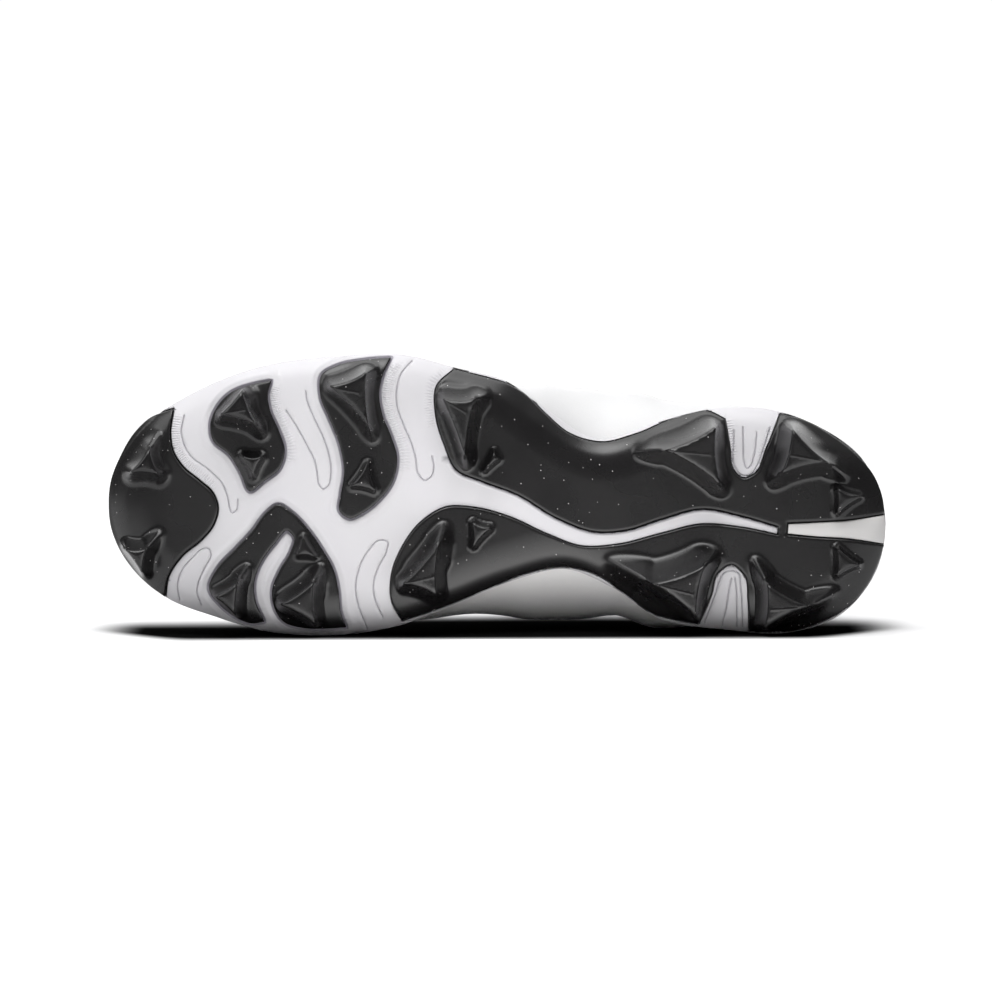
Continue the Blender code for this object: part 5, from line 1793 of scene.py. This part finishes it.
@dataclass
class Lace(Piece):
    """Flat woven lace: a bar over the first pair of eyelets and crossed runs up to the top pair."""

    finish: Finish
    smooth: float = 70.0
    width: float = 3.9
    thick: float = 1.5
    clear: float = 0.35
    columns: int = 44
    rows: int = 16

    def build(self, instep: Instep, outer: Sequence[Eyelet], inner: Sequence[Eyelet]) -> Thing:
        """Run the lace through the eyelets and dress it.

        Args:
            instep: The last under the lace.
            outer: Eyelets of the outer side from the toe up.
            inner: Eyelets of the inner side.

        Returns:
            The lace.
        """
        runs = [self.run("lace_bar", instep, outer[0], inner[0], 0.0)]
        for row in range(EYELET_ROWS - 1):
            runs.append(self.run(f"lace_under_{row}", instep, outer[row], inner[row + 1], 0.0))
            runs.append(self.run(f"lace_over_{row}", instep, inner[row], outer[row + 1], 1.0))
        bpy.ops.object.select_all(action="DESELECT")
        for run in runs:
            run.select_set(True)
        bpy.context.view_layer.objects.active = runs[0]
        bpy.ops.object.join()
        lace = bpy.context.object
        lace.name = self.name
        turn_outwards(lace, self.smooth)
        self.dress(lace, self.finish)
        return self.report(lace)

    def run(self, name: str, instep: Instep, start: Eyelet, end: Eyelet, over: float) -> Thing:
        """One run of the lace that comes out of one eyelet and goes into another.

        Args:
            name: Name of the run.
            instep: The last under it.
            start: Eyelet that it comes out of.
            end: Eyelet that it goes into.
            over: One for a run that crosses over the others, nought for one that stays under.

        Returns:
            The run as a closed tube.
        """
        shares = np.linspace(0.0, 1.0, self.columns + 1)
        base = EYESTAY_RAISE + self.clear + self.thick / 2
        spine = []
        facing = []
        for share in shares:
            spot = start.spot + (end.spot - start.spot) * share
            hump = over * (self.thick + 0.25) * math.exp(-((share - 0.5) / 0.13) ** 2)
            low = np.array(instep.point(spot[0], spot[1], base + hump - 0.5))
            high = np.array(instep.point(spot[0], spot[1], base + hump + 0.5))
            spine.append((low + high) / 2)
            facing.append(high - low)
        spine = np.array(spine)
        facing = np.array(facing)
        for eyelet, shift in ((start, shares), (end, 1.0 - shares)):
            near = 1.0 - smooth_step(0.0, 0.16, shift)
            dip = 1.0 - smooth_step(0.0, 0.075, shift)
            hold = eyelet.spot + eyelet.outward * (self.clear + self.thick / 2)
            away = spine[np.argmin(np.abs(shift - 0.25))] - hold
            line = hold + np.clip(shift / 0.25, 0.0, 1.0)[:, None] * away
            spine = spine * (1.0 - near[:, None]) + line * near[:, None]
            spine = spine - eyelet.outward * (dip * (self.thick + 1.6))[:, None]
            facing = facing * (1.0 - near[:, None]) + eyelet.outward * near[:, None]
        ahead = np.gradient(spine, axis=0)
        ahead /= np.linalg.norm(ahead, axis=1)[:, None]
        side = np.cross(ahead, facing)
        side /= np.linalg.norm(side, axis=1)[:, None]
        up = np.cross(side, ahead)
        ends = np.minimum(smooth_step(0.0, 0.12, shares), smooth_step(0.0, 0.12, 1.0 - shares))
        narrow = 0.55 + 0.45 * ends

        def sweep(along: Array, share: Array) -> Array:
            """Points of the flat oval around the spine."""
            place = np.round(along * self.columns).astype(int)
            turn = np.round(share * self.rows) / self.rows * 2.0 * math.pi
            wide = np.sign(np.cos(turn)) * np.abs(np.cos(turn)) ** 0.8 * self.width / 2 * narrow[place]
            tall = np.sign(np.sin(turn)) * np.abs(np.sin(turn)) ** 0.8 * self.thick / 2
            return spine[place] + side[place] * wide[:, None] + up[place] * tall[:, None]

        run = wrapped_grid(name, self.columns, self.rows, sweep, SEAM)
        bpy.ops.object.mode_set(mode="EDIT")
        bpy.ops.mesh.select_mode(type="EDGE")
        bpy.ops.mesh.select_all(action="DESELECT")
        bpy.ops.mesh.select_non_manifold(extend=False)
        bpy.ops.mesh.edge_face_add()
        bpy.ops.object.mode_set(mode="OBJECT")
        return run


@dataclass
class Insole(Piece):
    """Sock liner on the floor of the shoe, with a rim that cups the foot."""

    finish: Finish
    thick: float = 4.0
    rim_raise: float = 2.0
    clear: float = 1.4
    seat: float = 0.5
    cup: float = 9.0
    cup_power: float = 1.6
    edge_drop: float = 0.8
    edge_round: float = 1.3
    edge_step: float = 3.0
    outline_step: float = 1.8
    rim: Rim = Rim(3.2, (0.5, 1.3, 2.4), 1.5)
    smooth: float = 50.0
    spacing: float = 3.0

    def build(self) -> Thing:
        """Model the insole and dress it."""
        inset = WELT + WALL + self.clear
        edge = Path(BASE.sampled(self.edge_step))
        outline = Path(thinned(edge.spots + edge.inward() * inset, self.outline_step))
        patch = rimmed_patch(outline, self.spacing, self.rim)
        apart = outline.distance(patch.points)
        rise = self.rim_raise * np.clip(1.0 - apart / self.cup, 0.0, 1.0) ** self.cup_power
        rise -= self.edge_drop * (1.0 - np.clip(apart / self.edge_round, 0.0, 1.0)) ** 2
        top = sole_height("top", patch.points[:, 0]) + self.seat + self.thick + rise
        insole = shoe_object(self.name, np.column_stack([patch.points, top]), patch.triangles)
        close_back(insole, lambda points: sole_height("top", points[:, 0]) + self.seat)
        turn_outwards(insole, self.smooth)
        self.dress(insole, self.finish)
        return self.report(insole)


class Lamp(NamedTuple):
    """Soft rectangular lamp: where it hangs, what it faces and its size, in metres, and its watts."""

    name: str
    place: tuple
    aim: tuple
    size: tuple
    power: float


@dataclass
class Studio:
    """Pale floor, white surround, soft lights and the camera at the photo's angle to the sole.

    Limits of the surround are parts of a unit direction: X aside, Y to the back and Z up.
    """

    paper: Finish
    floor_size: float = 40.0
    floor_cuts: int = 4
    horizon: float = 1.03
    horizon_band: tuple = (-0.05, -0.02, 0.06, 0.09)
    horizon_back: tuple = (0.94, 0.97)
    horizon_side: tuple = (-0.97, -0.94)
    wall: float = 0.1
    wall_from: tuple = (0.08, 0.12)
    overhead: float = 0.4
    overhead_from: tuple = (0.4, 0.85)
    back_wall: float = 2.0
    back_from: tuple = (0.18, 0.32)
    back_dims: tuple = (0.45, 0.8, 1.0, 0.2)
    back_depth: tuple = (0.1, 0.4)
    back_half: tuple = (0.35, 0.65)
    sun_from: tuple = (-0.1, -0.45, 1.0)
    sun_strength: float = 0.6
    sun_spread: float = 30.0
    lamps: tuple = (
        Lamp("top_light", (0.0, -0.02, 0.75), (0.0, -0.02, 0.05), (0.7, 0.6), 3.8),
        Lamp("fill_light", (-0.05, -0.52, 0.85), (0.0, -0.02, 0.05), (0.9, 0.35), 4.5),
        Lamp("toe_light", (-0.55, -0.2, 0.45), (-0.1, -0.03, 0.05), (0.4, 0.4), 1.2),
    )
    target: tuple = (135.5, -4.9, 14.0)
    view_width: float = 0.3446
    distance: float = 1.9
    sensor: float = 36.0
    clip_end: float = 50.0

    def build(self) -> None:
        """Add the floor, the surround, the lights and the camera."""
        bpy.context.scene.view_settings.view_transform = "Standard"
        self.floor()
        self.surround()
        sun = bpy.data.lights.new("overhead_light", "SUN")
        sun.energy = self.sun_strength
        sun.angle = math.radians(self.sun_spread)
        self.hang(sun, self.sun_from, (0.0, 0.0, 0.0))
        for lamp in self.lamps:
            light = bpy.data.lights.new(lamp.name, "AREA")
            light.shape = "RECTANGLE"
            light.size, light.size_y = lamp.size
            light.energy = lamp.power
            self.hang(light, lamp.place, lamp.aim)
        self.camera()

    def floor(self) -> None:
        """Add the flat pale floor under the shoe."""
        bpy.ops.object.select_all(action="DESELECT")
        bpy.ops.mesh.primitive_plane_add(size=self.floor_size, location=(0.0, 0.0, 0.0))
        floor = bpy.context.object
        floor.name = "studio_floor"
        edit_whole(floor)
        bpy.ops.mesh.subdivide(number_cuts=self.floor_cuts)
        bpy.ops.object.mode_set(mode="OBJECT")
        floor.data.materials.append(self.paper.material())

    def surround(self) -> None:
        """Add a narrow white band along the horizon, dim walls and a bright wall at the back."""
        world = bpy.data.worlds.new("studio_surround")
        world.use_nodes = True
        tree = world.node_tree
        shade = tree.nodes["Background"]
        shade.inputs["Color"].default_value = colour(1.0, 1.0, 1.0)
        look = Wire.node(tree, "ShaderNodeTexCoord", output="Generated")
        side, back, rise = (look.axis(name) for name in "XYZ")
        seen = back.ramp(*self.horizon_back).most(side.fade(*self.horizon_side))
        band = rise.window(*self.horizon_band) * self.horizon * seen
        walls = rise.ramp(*self.wall_from, 0.0, self.wall)
        walls = walls + rise.ramp(*self.overhead_from, 0.0, self.overhead - self.wall)
        rear = rise.ramp(*self.back_from, 0.0, self.back_wall) * rise.ramp(*self.back_dims)
        rear = rear * back.ramp(*self.back_depth) * abs(side).fade(*self.back_half)
        tree.links.new(band.most(walls).most(rear).socket, shade.inputs["Strength"])
        bpy.context.scene.world = world

    def hang(self, light: bpy.types.Light, place: tuple, aim: tuple) -> None:
        """Hang a light at a place, in metres, so that it faces a point."""
        lamp = bpy.data.objects.new(light.name, light)
        bpy.context.scene.collection.objects.link(lamp)
        lamp.location = place
        lamp.rotation_euler = (Vector(aim) - Vector(place)).to_track_quat("-Z", "Y").to_euler()

    def camera(self) -> None:
        """Add the camera straight in front of the sole, as far along and across as the photo's middle."""
        turn = LYING.to_3x3()
        axes = [turn @ Vector(axis) for axis in ((1.0, 0.0, 0.0), (0.0, -1.0, 0.0), (0.0, 0.0, -1.0))]
        view = Matrix(axes).transposed().to_4x4()
        view.translation = LYING @ (Vector(self.target) * MM) + axes[2] * self.distance
        lens = bpy.data.cameras.new("photo_camera")
        lens.sensor_width = self.sensor
        lens.lens = self.sensor * self.distance / self.view_width
        lens.clip_end = self.clip_end
        camera = bpy.data.objects.new("photo_camera", lens)
        bpy.context.scene.collection.objects.link(camera)
        camera.matrix_world = view
        bpy.context.scene.camera = camera


@dataclass(frozen=True)
class FloorPaper(Finish):
    """Matt pale paper with a painted shadow under the shoe, a glowing strip in front of it and glowing white
    further off, places in metres.
    """

    shade: Colour = colour(0.74, 0.74, 0.75)
    shade_share: float = 0.2
    cloud: tuple = (120.0, 3.0)
    unlit: Colour = colour(0.0, 0.0, 0.0)
    far_glow: Colour = colour(0.6, 0.6, 0.6)
    far_behind: tuple = (0.2, 0.8)
    far_aside: tuple = (0.35, 1.1)
    far_before: tuple = (-0.3, -0.2)
    near_glow: Colour = colour(2.6, 2.57, 2.54)
    front_share: float = 0.6
    front_depth: tuple = (-0.25, -0.13, -0.075, -0.058)
    front_along: tuple = (-0.12, -0.06, 0.1, 0.17)
    waist_depth: tuple = (-0.16, -0.09, -0.07, -0.058)
    waist_place: float = 0.02
    waist_half: tuple = (0.025, 0.065)
    # Painted shadow under the shoe: its colour and its limits, in metres
    painted_shadow: Colour = colour(0.004, 0.004, 0.004)
    shadow_front: tuple = (-0.068, -0.046)
    shadow_ends: tuple = (0.124, 0.15)
    shadow_ends_back: tuple = (0.105, 0.148, 0.0, 0.045)
    shadow_behind: tuple = (0.025, 0.08)
    shadow_middle: float = 0.017
    shadow_middle_back: tuple = (0.04, 0.1, 0.0, 0.03)

    def vary(self, face: Surface) -> None:
        """Faint cloud in the tone, the painted shadow under the shoe and the glow."""
        along = face.place().axis("X")
        depth = face.place().axis("Y")
        aside = abs(along)
        front = depth.window(*self.front_depth) * along.window(*self.front_along) * self.front_share
        waist = depth.window(*self.waist_depth) * abs(along - self.waist_place).fade(*self.waist_half)
        far = depth.ramp(*self.far_behind).most(aside.ramp(*self.far_aside))
        glow = far.most(depth.fade(*self.far_before)).mixed(self.unlit, self.far_glow)
        # Painted shadow: near black paper where the shoe rests, fading towards its ends and behind it
        under = (depth - aside.ramp(*self.shadow_ends_back)).ramp(*self.shadow_front)
        back = abs(along - self.shadow_middle).ramp(*self.shadow_middle_back)
        under = under * aside.fade(*self.shadow_ends) * (depth + back).fade(*self.shadow_behind)
        paper = (face.noise(*self.cloud) * self.shade_share).mixed(self.tone, self.shade)
        face.shader.inputs["Emission Strength"].default_value = 1.0
        face.link(Base_Color=under.mixed(paper, self.painted_shadow),
                  Emission_Color=front.most(waist).mixed(glow, self.near_glow))


BLACK = BlackMoulding("black_moulding", colour(0.0062, 0.0059, 0.0063), 0.26, 0.45)
WHITE = WhiteMoulding("white_moulding", colour(0.54, 0.533, 0.55), 0.5, 0.35)
LEATHER = SyntheticLeather("white_synthetic_leather", colour(0.57, 0.57, 0.575), 0.45, 0.4)
LINING = KnitTextile("white_lining", colour(0.78, 0.78, 0.79), 0.9, 0.2)
TONGUE_MESH = KnitTextile("white_tongue_mesh", colour(0.82, 0.82, 0.83), 0.85, 0.2, loop=1.4, depth=0.3)
TAPE = WovenTape("white_woven_tape", colour(0.85, 0.85, 0.86), 0.85, 0.2)
BRUSHED = KnitTextile("grey_brushed_textile", colour(0.6, 0.6, 0.62), 0.9, 0.2, loop=0.5, depth=0.08)
THREAD = SatinMoulding("white_thread", colour(0.62, 0.615, 0.62), 0.65, 0.3)
PALE_GREY = SatinMoulding("pale_grey_moulding", colour(0.52, 0.512, 0.508), 0.45, 0.4)
PAPER = FloorPaper("studio_paper", colour(0.8, 0.8, 0.805), 0.9, 0.0)


def main() -> None:
    """Build and dress every piece, then the studio."""
    plates = (
        ("toe", PLATE_TOE, STUDS_TOE),
        ("fore_outer_front", PLATE_OUTER_FRONT, STUDS_OUTER_FRONT),
        ("fore_outer_rear", PLATE_OUTER_REAR, STUDS_OUTER_REAR),
        ("fore_inner", PLATE_INNER, STUDS_INNER),
        ("rear", PLATE_REAR, STUDS_REAR),
    )
    for place, rows, studs in plates:
        TreadPlate(f"tread_plate_{place}", f"plate_{place}", "tread_plate", rows, studs, BLACK).build()
    HeelInsert("heel_wedge", "heel_insert", "heel_insert", HEEL_INSERT, (), PALE_GREY).build()
    OutsoleBase("moulded_base", "outsole_base", "outsole_base", WHITE,
                (PLATE_OUTER_FRONT, PLATE_OUTER_REAR, PLATE_INNER),
                (PLATE_TOE, PLATE_REAR, HEEL_INSERT)).build()
    instep = Instep()
    outer = eyelets(OUTER_EYELETS)
    inner = eyelets(INNER_EYELETS)
    shell = Upper("upper_shell", "upper", "upper", LEATHER, LINING)
    shell.build(outer + inner)
    StitchRow("eyestay_stitches", "upper", THREAD).build(shell)
    Tongue("padded_tongue", "tongue", "tongue", TONGUE_MESH).build(instep)
    Lace("woven_lace", "lace", "lace", TAPE).build(instep, outer, inner)
    Insole("sock_liner", "insole", "insole", BRUSHED).build()
    Studio(PAPER).build()


if __name__ == "__main__":
    main()
